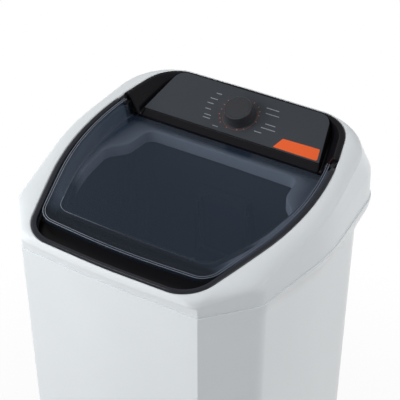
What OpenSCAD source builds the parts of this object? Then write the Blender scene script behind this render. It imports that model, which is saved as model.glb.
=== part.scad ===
// Semi-automatic washing machine with a top lid, a rear control panel
// and a belt-driven agitator. Millimetres, +Z up, front towards -Y.
// The origin is on the floor, at the middle of the machine's outer box.

/* [Cabinet] */
// Width over the straight side walls
cabinet_w = 516; // [480:1:560]
// Height of the seam between the cabinet and the top cover
cabinet_h = 816; // [760:1:880]
// Width of the flat front between its two sharp edges
front_w = 362; // [320:1:400]
// Distance from the middle of the machine to the front edges
front_reach = 257; // [240:1:275]
// Distance from the middle to the rear wall of the cabinet
rear_reach = 251; // [235:1:270]
// How far the front bulges between its edges
front_bow = 5; // [2:0.5:10]
// Depth of the slanted front corner faces
corner_depth = 83; // [60:1:110]
// Radius of the soft edge behind each slanted corner face
soft_edge_r = 50; // [30:1:70]
// Radius of the rear corners
rear_corner_r = 80; // [50:1:100]
// How far the side walls flare out under the top cover
flare = 32; // [15:1:40]
// Height over which the side walls flare
flare_h = 82; // [50:1:110]
// Inward lean of each wall from the seam to the foot
draft = 4; // [1:0.5:10]
// Wall thickness of the cabinet
cabinet_wall = 3; // [2.5:0.5:4]
// Width of the inner ledge that carries the tub
tub_ledge_w = 12; // [9:1:16]
// Gap from the floor to the lower edge of the cabinet
foot_gap = 24; // [18:1:34]

/* [Top cover] */
// Height of the rim at the middle of the machine
rim_h = 895.4; // [880:0.1:960]
// Forward slope of the rim in degrees
rim_tilt = 8.96; // [5:0.01:12]
// Distance from the middle to the front of the rim
rim_front = 261; // [240:1:275]
// Width of the front of the rim, between its construction corners
rim_front_w = 340; // [300:1:370]
// Width of the widest part of the rim, between its construction corners
rim_side_w = 534; // [500:1:560]
// Distance from the middle to the rear of the rim
rim_rear = 254; // [230:1:262]
// Width of the rear of the rim, between its construction corners
rim_rear_w = 404; // [360:1:440]
// Radius of the front corners of the rim
rim_corner_r = 70; // [40:1:80]
// Wall thickness of the top cover
cover_wall = 3; // [2.5:0.5:4]
// Depth of the ledge that carries the black frames
rim_ledge_d = 16; // [12:1:22]
// Width of that ledge
rim_ledge_w = 7; // [6:0.5:7.5]
// Distance from the side of the cabinet to the outer screws in the back of the cover
cover_screw_inset = 108; // [100:1:140]
// Radius of the heads of those screws
cover_screw_r = 3; // [2.5:0.5:4]
// Height of the crease in the cover's sides above the seam
crease_h = 40; // [30:1:50]
// Slope of that crease in degrees
crease_tilt = 4.1; // [2:0.1:6]
// Height of the rolled edge of the cover
roll_h = 15; // [9:1:20]
// How far the rolled edge stands out in front of the rim
roll_front = 7; // [4:0.5:10]
// Width of the shadow line that the seam leaves
seam_step = 1.6; // [1:0.1:3]

/* [Deck] */
// Width of the glossy bead round the lid
bead_w = 9.5; // [9:0.5:12]
// Depth of the gutter under the lip of the lid
gutter_d = 9; // [8:0.5:12]
// Depth of the finger recess in front of the lid
recess_d = 21; // [16:1:26]
// Depth of the inner ledge under the lid panel
ledge_drop = 11.5; // [10:0.5:14]
// Slope of that ledge in degrees
ledge_tilt = 1.5; // [1:0.1:2.5]
// Height of the collar round the wash opening
collar_h = 24; // [18:1:30]
// Thickness of the deck's walls
deck_wall = 3; // [2.5:0.5:4]

/* [Lid] */
// Height of the top of the flat lid panel at the middle of the machine
panel_h = 873.6; // [865:0.1:900]
// Forward slope of the lid panel in degrees
panel_tilt = 2.9; // [1:0.1:5]
// Gap between the bead of the deck and the lip of the lid
lid_gap = 1.5; // [1:0.1:3]
// Width of the lid's lip
lip_w = 5; // [4:0.5:8]
// Height of the lid's lip
lip_h = 6.5; // [5:0.5:8]
// Thickness of the lid
lid_t = 3; // [2.5:0.5:4]
// Distance from the middle to the front lip of the lid
lid_front = 222; // [205:1:235]
// Distance from the middle to the front of the flat panel
panel_front = 181; // [165:1:195]
// Distance from the middle to the rear edge of the lid
lid_rear = 134.5; // [130:0.5:136]
// Distance from the middle to the lid's hinge axis
hinge_y = 127.5; // [124:0.5:129]
// Depth of the hinge axis under the rim's plane
hinge_drop = 5; // [5:0.1:6]
// Radius of the hinge pins
pin_r = 2; // [1.75:0.25:2.25]
// Radial clearance of the hinge pins
pin_clear = 0.06; // [0.03:0.01:0.1]

/* [Wash tub] */
// Width of the mouth of the tub
tub_w = 446; // [438:1:460]
// Distance from the middle to the front of the mouth
tub_front = 192; // [187:1:200]
// Distance from the middle to the rear of the mouth
tub_rear = 150; // [140:1:170]
// Radius of the corners of the tub
tub_corner_r = 75; // [50:1:110]
// Height of the inside of the tub's floor
tub_floor_h = 286; // [270:1:320]
// Radius between the walls and the floor of the tub
tub_floor_r = 40; // [30:1:50]
// Wall thickness of the tub
tub_wall = 3; // [2.5:0.5:4]
// Height of the tub's collar above the seam
tub_riser_h = 20; // [12:1:24]
// Radius of the heads of the screws in the tub's flange
tub_screw_r = 3.5; // [3:0.5:4]

/* [Control panel] */
// Slope of the control panel in degrees
panel_slope = 24.8; // [20:0.1:30]
// Distance from the middle to the front edge of the fascia
fascia_y = 149; // [146:0.5:156]
// Height of the front edge of the fascia
fascia_h = 894.2; // [890:0.1:902]
// Depth of the fascia along its slope
fascia_d = 106; // [100:1:112]
// Width of the fascia at its front edge
fascia_front_w = 385; // [360:1:392]
// Width of the fascia at its rear edge
fascia_rear_w = 335; // [300:1:350]
// Radius of the rear corners of the fascia
fascia_r = 26; // [15:1:35]
// Thickness of the fascia plate
fascia_t = 1.5; // [1:0.5:2.5]
// Depth of the troughs below the fascia at their front
trough_d = 9; // [8:0.5:11]
// Slope of the troughs, in degrees
trough_slope = 20; // [18:0.5:22]
// Width of the flat rim outside the troughs
arc_w = 11.5; // [10:0.5:13]
// Wall thickness of the control housing
housing_wall = 3; // [2.5:0.5:4]

/* [Timer and knob] */
// Sideways place of the knob on the fascia
knob_x = 1; // [-40:1:40]
// Place of the knob up the slope from the fascia's front edge
knob_v = 47.5; // [42:0.5:56]
// Radius of the knob's top
knob_r = 27; // [20:0.5:30]
// Radius of the knob's skirt
knob_skirt_r = 29; // [22:0.5:33]
// Height of the knob
knob_h = 24; // [18:1:28]
// Gap between the knob and the fascia
knob_gap = 1; // [0.5:0.1:2]
// Radius of the timer's shaft
timer_shaft_r = 3; // [2.5:0.25:4]
// Radial clearance of the timer's shaft
timer_clear = 0.05; // [0.03:0.01:0.1]
// Width of the timer's case
timer_w = 56; // [46:1:64]
// Height of the timer's case
timer_h = 30; // [22:1:34]

/* [Agitator] */
// Radius of the agitator's disc
agitator_r = 126; // [110:1:132]
// Height of the agitator's vanes at the hub
vane_h = 62; // [45:1:90]
// Number of vanes
vane_n = 6; // [4:1:8]
// Thickness of a vane
vane_t = 9; // [6:1:12]
// Radius of the agitator's hub
hub_r = 34; // [26:1:42]
// Running gap between the agitator's disc and the tub's floor
agitator_gap = 4; // [3:0.5:8]
// Radius of the drive shaft
shaft_r = 7; // [5:0.5:9]
// Radial clearance of the drive shaft in its bushes
shaft_clear = 0.04; // [0.02:0.01:0.08]
// Outer radius of the bushes and the shaft seal
bush_r = 12; // [10.5:0.5:15]
// Length of a bush
bush_l = 22; // [14:1:30]
// Outer radius of the bearing tube
tube_r = 18; // [16:0.5:22]
// Radius of the bearing housing's flange
flange_r = 62; // [52:1:70]

/* [Drive] */
// Thickness of the steel drive plate
plate_t = 3; // [2:0.5:4]
// Distance between the drive shaft and the motor shaft
drive_c = 168; // [162:1:174]
// Radius of the large pulley
pulley_r = 105; // [90:1:112]
// Radius of the motor's pulley
motor_pulley_r = 21; // [18:0.5:26]
// Width of the pulleys
pulley_w = 16; // [14:0.5:20]
// Height of the middle of the belt above the floor
belt_h = 118; // [110:1:130]
// Height of the belt's section
belt_w = 9; // [7:0.5:10]
// Thickness of the belt
belt_t = 6; // [5:0.5:7]
// Gap between the belt and the bottom of the pulley grooves
belt_gap = 0.4; // [0.3:0.1:0.8]
// Radius of the motor's case
motor_r = 54; // [46:1:58]
// Height of the motor's case
motor_h = 92; // [80:1:100]
// Radius of the motor's shaft
motor_shaft_r = 5; // [4:0.5:6]
// Radial clearance of the motor's shaft
motor_clear = 0.05; // [0.03:0.01:0.1]
// Length of the rubber mounts above the motor
mount_l = 12; // [8:1:18]
// Radius of the capacitor
capacitor_r = 17.5; // [14:0.5:20]
// Length of the capacitor
capacitor_l = 62; // [50:1:80]

/* [Drain and inlet] */
// Outer radius of the drain hose
hose_r = 14; // [11:0.5:18]
// Wall thickness of the drain hose
hose_wall = 2.5; // [2:0.5:3.5]
// Sideways place of the drain in the tub's floor
drain_x = -112; // [-125:1:-100]
// Place of the drain in the tub's floor towards the rear
drain_y = 80; // [70:1:90]
// Height of the drain outlet in the rear wall
outlet_h = 200; // [190:1:215]
// Length of the outlet spigot behind the rear wall
spigot_l = 15.5; // [10:0.5:17]

/* [Feet] */
// Radius of a foot
foot_r = 19; // [15:1:24]
// Thickness of the foot's pad
foot_pad_h = 12; // [8:1:18]
// Distance of the feet from the walls
foot_inset = 34; // [30:1:44]

/* [Lint filter] */
// Width of the lint filter
filter_w = 112; // [90:1:130]
// Height of the lint filter
filter_h = 150; // [110:1:180]
// Depth of the lint filter
filter_d = 24; // [18:1:30]
// Height of the filter's lower edge
filter_z = 610; // [560:1:640]
// Way that the filter slides up out of its guides
filter_travel = 45; // [30:1:60]

/* [Hidden] */
$fn = 72;

arc_n = 6;
reach = 700;
white = [0.90, 0.92, 0.93];
black = [0.08, 0.08, 0.10];
graphite = [0.25, 0.27, 0.31];
smoke = [0.16, 0.19, 0.25, 0.75];
steel = [0.72, 0.73, 0.74];
rubber = [0.12, 0.12, 0.12];
orange = [0.92, 0.41, 0.20];

// A plane is its height over the middle of the machine and its rise per millimetre to the rear.
rim = [rim_h, tan(rim_tilt)];
lid_plane = [panel_h, tan(panel_tilt)];
ledge_plane = [panel_h - ledge_drop, tan(ledge_tilt)];
seam = [cabinet_h, 0];
function height(plane, y) = plane[0] + plane[1] * y;
function mix(a, b, t) = a + (b - a) * t;
function smooth(t) = t * t * (3 - 2 * t);
function clamp01(t) = min(1, max(0, t));
function unit(v) = v / norm(v);
function flat(v) = [v.x, v.y];

// A loop is a list of corners [x, y, radius]. Some corners also carry a blend between two planes
// and a drop below them. The right half runs from the front middle to the rear middle.
function mirrored(v) = concat([-v.x, v.y], [for (i = [2:1:len(v) - 1]) v[i]]);
function whole(half) = concat(half, [for (i = [len(half) - 2:-1:1]) mirrored(half[i])]);
function before(loop, i) = loop[(i + len(loop) - 1) % len(loop)];
function after(loop, i) = loop[(i + 1) % len(loop)];

// The points of one rounded corner v between its neighbours a and b.
function corner_points(a, v, b) =
    let (
        u1 = unit(flat(a) - flat(v)),
        u2 = unit(flat(b) - flat(v)),
        half = acos(u1 * u2) / 2,
        c = flat(v) + unit(u1 + u2) * v[2] / sin(half),
        p1 = flat(v) + u1 * v[2] / tan(half),
        p2 = flat(v) + u2 * v[2] / tan(half),
        start = atan2(p1.y - c.y, p1.x - c.x),
        turn = atan2(p2.y - c.y, p2.x - c.x) - start,
        sweep = turn > 180 ? turn - 360 : turn < -180 ? turn + 360 : turn
    )
    [for (k = [0:arc_n]) c + v[2] * [cos(start + sweep * k / arc_n), sin(start + sweep * k / arc_n)]];
function outline(loop) =
    [for (i = [0:len(loop) - 1]) each corner_points(before(loop, i), loop[i], after(loop, i))];

// The same loop with every side moved in by d. Inner corners turn the other way.
function bend(a, v, b) = sign((v.x - a.x) * (b.y - v.y) - (v.y - a.y) * (b.x - v.x));
function shrink(loop, d) = [
    for (i = [0:len(loop) - 1])
        let (
            a = before(loop, i),
            v = loop[i],
            b = after(loop, i),
            u1 = unit(flat(a) - flat(v)),
            u2 = unit(flat(b) - flat(v)),
            s = bend(a, v, b) * d,
            p = flat(v) + unit(u1 + u2) * s / sin(acos(u1 * u2) / 2)
        )
        concat(p, [max(v[2] - s, 0.5)], [for (k = [3:1:len(v) - 1]) v[k]])
];
function blend(a, b, t) = [for (i = [0:len(a) - 1]) mix(a[i], b[i], t)];

// Rings of points in space: on one plane, or between the lid's plane and the rim's.
function ring(loop, plane, dz = 0) =
    [for (p = outline(loop)) [p.x, p.y, height(plane, p.y) + dz]];
function tray_ring(low, loop, dz = 0) = [
    for (i = [0:len(loop) - 1])
        let (v = loop[i])
        each [
            for (p = corner_points(before(loop, i), v, after(loop, i)))
                [p.x, p.y, mix(height(low, p.y), height(rim, p.y), v[3]) + v[4] + dz]
        ]
];
function deck_ring(loop, dz = 0) = tray_ring(ledge_plane, loop, dz);
function lid_ring(loop, w, dz) = tray_ring(lid_plane, leveled(loop, w, dz));
function leveled(loop, w, dz) = [for (v = loop) [v.x, v.y, v[2], w, dz]];

// A skin through rings with as many points each, either closed on itself or capped at both ends.
// The first bands are cut along the other diagonal, so that both sides of a thin wall agree.
function skin_faces(n, m, closed, first) = [
    for (r = [0:(closed ? m - 1 : m - 2)])
        for (k = [0:n - 1])
            let (
                a = r * n + k,
                b = r * n + (k + 1) % n,
                c = ((r + 1) % m) * n + (k + 1) % n,
                d = ((r + 1) % m) * n + k
            )
            each r < first ? [[a, d, b], [b, d, c]] : [[a, d, c], [a, c, b]]
];
module skin(rings, first = 0, closed = false) {
    n = len(rings[0]);
    m = len(rings);
    caps = closed ? [] : [[for (k = [0:n - 1]) k], [for (k = [n - 1:-1:0]) (m - 1) * n + k]];
    polyhedron([for (r = rings) each r], concat(skin_faces(n, m, closed, first), caps), convexity = 10);
}
module prism(loop, z0, z1) {
    translate([0, 0, z0])
        linear_extrude(z1 - z0)
            polygon(outline(loop));
}
// Everything above a plane, for cutting prisms to a slope.
module above(plane, dz = 0) {
    translate([0, 0, plane[0] + dz])
        rotate([atan(plane[1]), 0, 0])
            translate([-reach, -reach, 0])
                cube([2 * reach, 2 * reach, reach]);
}
module below(plane, dz = 0) {
    translate([0, 0, plane[0] + dz])
        rotate([atan(plane[1]), 0, 0])
            translate([-reach, -reach, -reach])
                cube([2 * reach, 2 * reach, reach]);
}

// Outlines of the cabinet at its seam and below its flare.
flare_y = 37;
edge_r = 2;
soft_y = corner_depth - front_reach;
front_points = [
    [0, -front_reach - front_bow, 2500],
    [front_w / 2, -front_reach, edge_r]
];
rear_flare = 9;
seam_loop = whole(concat(front_points, [
    [cabinet_w / 2 - edge_r, soft_y, soft_edge_r],
    [cabinet_w / 2 + flare, flare_y - 22, 380],
    [cabinet_w / 2 + flare / 2, rear_reach + rear_flare, rear_corner_r - 5],
    [0, rear_reach + rear_flare + 2, 2500]
]));
wall_loop = whole(concat(front_points, [
    [cabinet_w / 2 - edge_r, soft_y, soft_edge_r],
    [cabinet_w / 2, flare_y, 2500],
    [cabinet_w / 2 - 1, rear_reach, rear_corner_r],
    [0, rear_reach + 2, 2500]
]));
crease_loop = whole([
    [0, -front_reach - front_bow, 2500],
    [front_w / 2, -front_reach, 4 * edge_r],
    [cabinet_w / 2 - 2 * edge_r, soft_y, soft_edge_r + 5],
    [cabinet_w / 2 + 0.8 * flare, flare_y - 17, 400],
    [cabinet_w / 2 + 0.4 * flare, rear_reach + rear_flare - 2, rear_corner_r - 5],
    [0, rear_reach + rear_flare, 2500]
]);

// Outline of the rim, where the white cover meets the black frames.
rim_corner = [rim_front_w / 2, -rim_front + 2, rim_corner_r];
rim_side = [rim_side_w / 2, 23, 468];
rim_loop = whole([
    [0, -rim_front - 3, 1500],
    rim_corner,
    concat(flat(mix(rim_corner, rim_side, 0.31)) + [1, 0], [300]),
    rim_side,
    [rim_rear_w / 2, rim_rear - 1, 75],
    [0, rim_rear + 1, 2500]
]);

// Outlines of the lid: the outside of its lip and the crease round its flat panel.
lip_inset = bead_w + lid_gap;
lip_side = shrink(rim_loop, lip_inset)[3];
lip_corner = [rim_corner.x + 4, -lid_front + 8, 42];
lip_loop = whole([
    [0, -lid_front - 2, 1500],
    lip_corner,
    concat(flat(mix(lip_corner, lip_side, 0.3)) - [0.5, 0], [300]),
    [lip_side.x - 4, lip_side.y, 450],
    [lip_side.x - 42, lip_side.y + 146, 6],
    [0, lip_side.y + 147, 2500]
]);
panel_corner = [rim_corner.x - 13, -panel_front + 1, 30];
panel_side = [lip_side.x - 29, 15, 520];
panel_loop = whole([
    [0, -panel_front - 2, 1500],
    panel_corner,
    concat(flat(mix(panel_corner, panel_side, 0.35)) + [1, 0], [300]),
    panel_side,
    [panel_side.x - 19, lid_rear + 12.5, 3],
    [0, lid_rear + 13.5, 2500]
]);

// Cabinet

// The flare starts low at the widest point and high at the front.
function flare_len(y) = mix(0.3 * flare_h, flare_h, smooth(clamp01((y - soft_y) / (flare_y - soft_y))));
function flare_ring(s, d) =
    [for (p = outline(shrink(blend(wall_loop, seam_loop, smooth(s)), d)))
        [p.x, p.y, cabinet_h - d - (1 - s) * flare_len(p.y)]];
ledge_loop = shrink(wall_loop, cabinet_wall + tub_ledge_w);
module cabinet() {
    foot = [foot_gap, 0];
    color(white)
        difference() {
            skin(concat(
                [ring(shrink(wall_loop, draft), foot)],
                [for (s = [0, 0.33, 0.67, 1]) flare_ring(s, 0)],
                [ring(ledge_loop, seam), ring(ledge_loop, seam, -cabinet_wall)],
                [for (s = [1, 0.67, 0.33, 0]) flare_ring(s, cabinet_wall)],
                [ring(shrink(wall_loop, draft + cabinet_wall), foot)]
            ), 4, closed = true);
            rear_bore(outlet_x, outlet_h, neck_r + 0.1);
            rear_bore(gland_x, gland_h, gland_r + 0.1);
        }
}
module rear_bore(x, z, r) {
    translate([x, rear_reach - 40, z])
        rotate([-90, 0, 0])
            cylinder(r = r, h = 80);
}

// Base frame with a socket for each foot
base_t = 4;
base_loop = shrink(wall_loop, draft);
base_up = 22;
foot_x = front_w / 2 - foot_inset;
foot_front = -front_reach + foot_inset + 18;
foot_rear = rear_reach - foot_inset - 26;
foot_places = [for (x = [-1, 1]) for (y = [foot_front, foot_rear]) [x * (foot_x + (y > 0 ? 36 : 0)), y]];
stem_r = 5;
foot_fit = 0.05;
module base_frame() {
    color(graphite)
        difference() {
            union() {
                difference() {
                    prism(base_loop, foot_gap - base_t, foot_gap);
                    prism(shrink(base_loop, 66), foot_gap - base_t - 1, foot_gap + 1);
                }
                difference() {
                    prism(shrink(base_loop, cabinet_wall + 0.4), foot_gap - base_t / 2, foot_gap + base_up);
                    prism(shrink(base_loop, 2 * cabinet_wall + 0.4), foot_gap - base_t, foot_gap + base_up + 1);
                }
                difference() {
                    prism(shrink(base_loop, 62), foot_gap - base_t / 2, foot_gap + base_up / 2);
                    prism(shrink(base_loop, 66), foot_gap - base_t, foot_gap + base_up);
                }
                for (p = foot_places)
                    translate([p.x, p.y, foot_gap - base_t / 2])
                        cylinder(r = stem_r + 5, h = base_up);
            }
            for (p = foot_places)
                translate([p.x, p.y, foot_gap - base_t - 1])
                    cylinder(r = stem_r + foot_fit, h = base_up + base_t + 5);
        }
}
module feet() {
    neck_r = 0.62 * foot_r;
    top = foot_gap - base_t;
    color(rubber)
        for (p = foot_places)
            translate([p.x, p.y, 0])
                rotate_extrude()
                    polygon([
                        [0, 0], [foot_r - 2, 0], [foot_r, 2], [foot_r, foot_pad_h - 3],
                        [neck_r + 1, foot_pad_h], [neck_r, top],
                        [stem_r, top], [stem_r, top + base_up - 2], [stem_r - 1, top + base_up], [0, top + base_up]
                    ]);
}

// Top cover: from the seam over the crease and the rolled edge to the ledge inside the rim
crease = [cabinet_h + crease_h, tan(crease_tilt)];
brow_loop = whole([
    [0, -rim_front - 3 - roll_front, 2000],
    [front_w / 2 - 2, -front_reach - 5, 38],
    [cabinet_w / 2 - 8, soft_y - 5, soft_edge_r + 15],
    [cabinet_w / 2 + 0.75 * flare, flare_y - 17, 400],
    [cabinet_w / 2 - 5, rear_reach + rear_flare - 5, rear_corner_r + 20],
    [0, rear_reach + rear_flare - 3, 2500]
]);
roll_steps = [0, 20, 40, 60, 78];
module top_cover() {
    color(white)
        difference() {
            skin(concat(
                [ring(shrink(seam_loop, seam_step), seam), ring(shrink(seam_loop, seam_step), seam, 3)],
                [ring(crease_loop, crease)],
                [for (a = roll_steps) ring(blend(brow_loop, rim_loop, 1 - cos(a)), rim, -roll_h * (1 - sin(a)))],
                [ring(rim_loop, rim, -0.8), ring(rim_loop, rim, -rim_ledge_d)],
                [ring(shrink(rim_loop, rim_ledge_w), rim, -rim_ledge_d)],
                [ring(shrink(rim_loop, rim_ledge_w), rim, -rim_ledge_d - cover_wall)],
                [ring(shrink(crease_loop, cover_wall), crease, -cover_wall)],
                [ring(shrink(seam_loop, seam_step + cover_wall), seam)]
            ), closed = true);
        }
}

// Everything in front of a depth or behind it, and the line behind the lid, which steps forward over
// the raised sides
part_x = panel_side.x - 18;
part_y = lid_rear + 5;
function part_line(side, mid) = [
    [reach, part_y - side], [part_x + 6, part_y - side], [part_x, part_y - mid],
    [-part_x, part_y - mid], [-part_x - 6, part_y - side], [-reach, part_y - side]
];
module front_of(y) {
    translate([-reach, y - 2 * reach, 0])
        cube([2 * reach, 2 * reach, 2 * reach]);
}
module rear_of(y) {
    translate([-reach, y, 0])
        cube([2 * reach, reach, 2 * reach]);
}
module behind(side, mid) {
    linear_extrude(2 * reach)
        polygon(concat([[reach, reach]], part_line(side, mid), [[-reach, reach]]));
}
// The reach of a loop to the right at this depth
function side_at(loop, y) = max([
    for (i = [0:len(loop) - 1])
        let (a = loop[i], b = after(loop, i))
        if (min(a.y, b.y) <= y && y < max(a.y, b.y))
            mix(a.x, b.x, (y - a.y) / (b.y - a.y))
]);
hinge_z = height(rim, hinge_y) - hinge_drop;
module hinge_axis(x0, x1, r) {
    for (side = [-1, 1])
        translate([side * (x0 + x1) / 2, hinge_y, hinge_z])
            rotate([0, 90, 0])
                cylinder(r = r, h = x1 - x0, center = true);
}
lip_x = side_at(outline(lip_loop), hinge_y);
boss_x0 = lip_x - 7;
boss_x1 = lip_x - 0.6;
ear_x0 = lip_x + 1.9;
ear_x1 = lip_x + 7.6;

// Deck: the black frame round the wash opening, from its glossy bead down the gutter and up to the
// ledge under the lid. The gutter opens into a finger recess along the front.
seat_gap = 0.5;
bar_loop = shrink(rim_loop, seat_gap);
under_loop = shrink(rim_loop, rim_ledge_w + 1.4);
function gutter_drop(loop, dz) = [
    for (v = loop)
        let (front = v.y < -0.75 * lid_front && abs(v.x) < rim_corner.x + 12)
        [v.x, v.y, v[2], 1, (front ? -recess_d : -gutter_d) + dz]
];
gutter_side = shrink(lip_loop, lip_w + 0.8);
gutter_in = whole([
    [0, -lid_front + 22, 1500],
    [lip_corner.x - 16, -lid_front + 30, 34],
    concat(flat(gutter_side[2]), [120]), gutter_side[3], gutter_side[4], gutter_side[5]
]);
module deck_bowl() {
    ledge = leveled(shrink(panel_loop, -2), 0, 0);
    skin([
        deck_ring(ledge, -deck_wall),
        deck_ring(gutter_drop(gutter_in, -deck_wall)),
        deck_ring(gutter_drop(under_loop, -deck_wall)),
        ring(under_loop, rim, -rim_ledge_d),
        ring(bar_loop, rim, -rim_ledge_d),
        ring(bar_loop, rim, -1),
        ring(shrink(bar_loop, 1.6), rim, 0.8),
        ring(shrink(rim_loop, 0.45 * bead_w), rim, 1.6),
        ring(shrink(rim_loop, bead_w - 2), rim, 1),
        ring(shrink(rim_loop, bead_w), rim, -0.8),
        deck_ring(gutter_drop(shrink(rim_loop, bead_w + 1), 0)),
        deck_ring(gutter_drop(gutter_in, 0)),
        deck_ring(ledge)
    ], 2);
}
// The wash opening is wide in front and drawn in by an S-curve on each side of its rear.
open_rear_w = 326;
open_front = panel_front - 12;
open_rear = lid_rear - 11.5;
open_loop = whole([
    [0, -open_front, 2500],
    [panel_corner.x - 7, -open_front + 2, 40],
    [panel_side.x - 32, -60, 300],
    [panel_side.x - 25, 30, 28],
    [open_rear_w / 2 + 7, 62, 34],
    [open_rear_w / 2, open_rear, 20],
    [0, open_rear + 2, 2500]
]);
// The bead stops short of the control panel, which leaves a slot for the hinge.
slot_y = hinge_y - 30;
slot_w = bead_w + 2.7;
module deck_frame() {
    color(black)
        difference() {
            union() {
                difference() {
                    deck_bowl();
                    rear_of(part_y);
                }
                difference() {
                    prism(shrink(open_loop, -deck_wall), panel_h - 2 * collar_h, panel_h + 30);
                    above(ledge_plane, -0.5);
                    below(ledge_plane, -collar_h);
                }
            }
            prism(open_loop, 0, 2 * reach);
            hinge_axis(boss_x0 - 1, ear_x0, pin_r + 3);
            difference() {
                rear_of(slot_y);
                prism(shrink(rim_loop, slot_w), -1, 3 * reach);
                below(rim, -rim_ledge_d + 3.2);
            }
        }
}

// Lid: a smoked tray with a raised lip, sloping sides and a flat panel, on two hinge bosses
module lid_shell() {
    inner_lip = shrink(lip_loop, lip_w + 1);
    low_lip = shrink(lip_loop, lid_t - 0.3);
    near_panel = shrink(panel_loop, -2.5);
    color(smoke)
        difference() {
            union() {
                difference() {
                    skin([
                        lid_ring(panel_loop, 0, -lid_t),
                        lid_ring(near_panel, 0.05, -lid_t),
                        lid_ring(inner_lip, 1, -lid_t - 1.4),
                        lid_ring(low_lip, 1, -lid_t - 0.6),
                        lid_ring(low_lip, 1, -lip_h),
                        lid_ring(lip_loop, 1, -lip_h),
                        lid_ring(lip_loop, 1, -1),
                        lid_ring(shrink(lip_loop, 1), 1, 0),
                        lid_ring(shrink(lip_loop, lip_w - 1), 1, 0),
                        lid_ring(inner_lip, 1, -1.4),
                        lid_ring(near_panel, 0.05, 0),
                        lid_ring(panel_loop, 0, 0)
                    ], 3);
                    behind(part_y - hinge_y - 1.7, 5);
                }
                hinge_axis(boss_x0, boss_x1, pin_r + 2);
                for (side = [-1, 1])
                    translate([side * (boss_x0 + boss_x1) / 2, hinge_y - 4, hinge_z - 1])
                        cube([boss_x1 - boss_x0, 8, 2 * pin_r + 2], center = true);
            }
            hinge_axis(boss_x0 - 1, ear_x0, pin_r + pin_fit);
        }
}
pin_fit = 0.02;
module lid_pins() {
    color(steel)
        hinge_axis(boss_x0, ear_x1, pin_r);
}
// Soft stops between the lid panel and the front of the ledge
bumper_x = 120;
bumper_seat = 0.3;
module lid_bumpers() {
    color(rubber)
        for (side = [-1, 1])
            difference() {
                translate([side * bumper_x, -panel_front + 6, panel_h - 40])
                    cylinder(r = 4.5, h = 50);
                above(lid_plane, -lid_t);
                below(ledge_plane, bumper_seat);
            }
}

// Wash tub
tub_y = (tub_rear - tub_front) / 2;
tub_loop = [
    [-tub_w / 2, -tub_front, tub_corner_r], [tub_w / 2, -tub_front, tub_corner_r],
    [tub_w / 2, tub_rear, 0.7 * tub_corner_r], [-tub_w / 2, tub_rear, 0.7 * tub_corner_r]
];
tub_flange_t = 3;
tub_top = cabinet_h + tub_riser_h;
flange_w = (cabinet_w - tub_w) / 2 - 6;
tub_flange_loop = [
    [-tub_w / 2 + 34, -tub_front - flange_w, 20], [tub_w / 2 - 34, -tub_front - flange_w, 20],
    [tub_w / 2 + flange_w, -tub_front + 50, 60],
    [tub_w / 2 + flange_w, rear_reach - 8, rear_corner_r - 4],
    [-tub_w / 2 - flange_w, rear_reach - 8, rear_corner_r - 4],
    [-tub_w / 2 - flange_w, -tub_front + 50, 60]
];
fillet_steps = [90, 60, 30, 0];
module tub_skin(r, wall, top) {
    skin(concat(
        [for (a = fillet_steps)
            ring(shrink(tub_loop, r * (1 - cos(a)) - wall), [tub_floor_h + r * (1 - sin(a)) - wall, 0])],
        [ring(shrink(tub_loop, -wall), [top, 0])]
    ));
}
module wash_tub() {
    color([0.30, 0.32, 0.36])
        difference() {
            union() {
                tub_skin(tub_floor_r + tub_wall, tub_wall, tub_top);
                prism(tub_flange_loop, cabinet_h, cabinet_h + tub_flange_t);
            }
            tub_skin(tub_floor_r, 0, tub_top + 1);
            translate([0, tub_y, tub_floor_h - 20])
                cylinder(r = tube_r + fit, h = 40);
            translate([drain_x, drain_y, tub_floor_h - 20])
                cylinder(r = pipe_r + fit, h = 40);
        }
}
fit = 0.04;
module tub_screws() {
    free_w = flange_w - tub_wall;
    x = tub_w / 2 + tub_wall + free_w * 19 / 26;
    color(steel)
        for (p = [[-x, -60], [x, -60], [-x, 120], [x, 120], [-90, rear_reach - 16], [90, rear_reach - 16]])
            translate([p.x, p.y, cabinet_h + tub_flange_t])
                screw_head(tub_screw_r);
}
// A rounded screw head with its washer, standing on z = 0
module screw_head(r) {
    rotate_extrude()
        polygon([[0, 0], [1.4 * r, 0], [1.4 * r, 0.8], [r, 0.8], [0.8 * r, 0.7 * r], [0, 0.8 * r]]);
}

// Control housing: the black block under the fascia with a trough on each side and the outer rim
fascia = [fascia_h - fascia_y * tan(panel_slope), tan(panel_slope)];
fascia_rear = fascia_y + fascia_d * cos(panel_slope);
foot_y = part_y + seat_gap;
foot_drop = 6.5;
trough_y = height(fascia, foot_y) - trough_d / cos(panel_slope);
trough = [trough_y - foot_y * tan(trough_slope), tan(trough_slope)];
block_draft = 0.5;
front_wall_h = 22;
plate_under = (fascia_t + 0.02) / cos(panel_slope);
function block_loop(front, out_front, out_rear) = [
    [-fascia_front_w / 2 - out_front, front, 5],
    [fascia_front_w / 2 + out_front, front, 5],
    [fascia_rear_w / 2 + out_rear, fascia_rear - 0.35 * out_rear, fascia_r],
    [-fascia_rear_w / 2 - out_rear, fascia_rear - 0.35 * out_rear, fascia_r]
];
function block_out(y) = block_draft * (height(fascia, y) - height(trough, y));
module block_skin(d, top, low) {
    foot_out = block_draft * foot_drop;
    wide = block_loop(foot_y, block_out(foot_y), block_out(fascia_rear));
    skin([
        ring(shrink(wide, d), trough, -low),
        ring(shrink(wide, d), trough, -housing_wall / 2),
        ring(shrink(block_loop(foot_y, foot_out, foot_out), d), fascia, -foot_drop - top),
        ring(shrink(block_loop(fascia_y, 0, 0), d), fascia, -top)
    ]);
}
wide_loop = shrink(rim_loop, 45);
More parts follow.
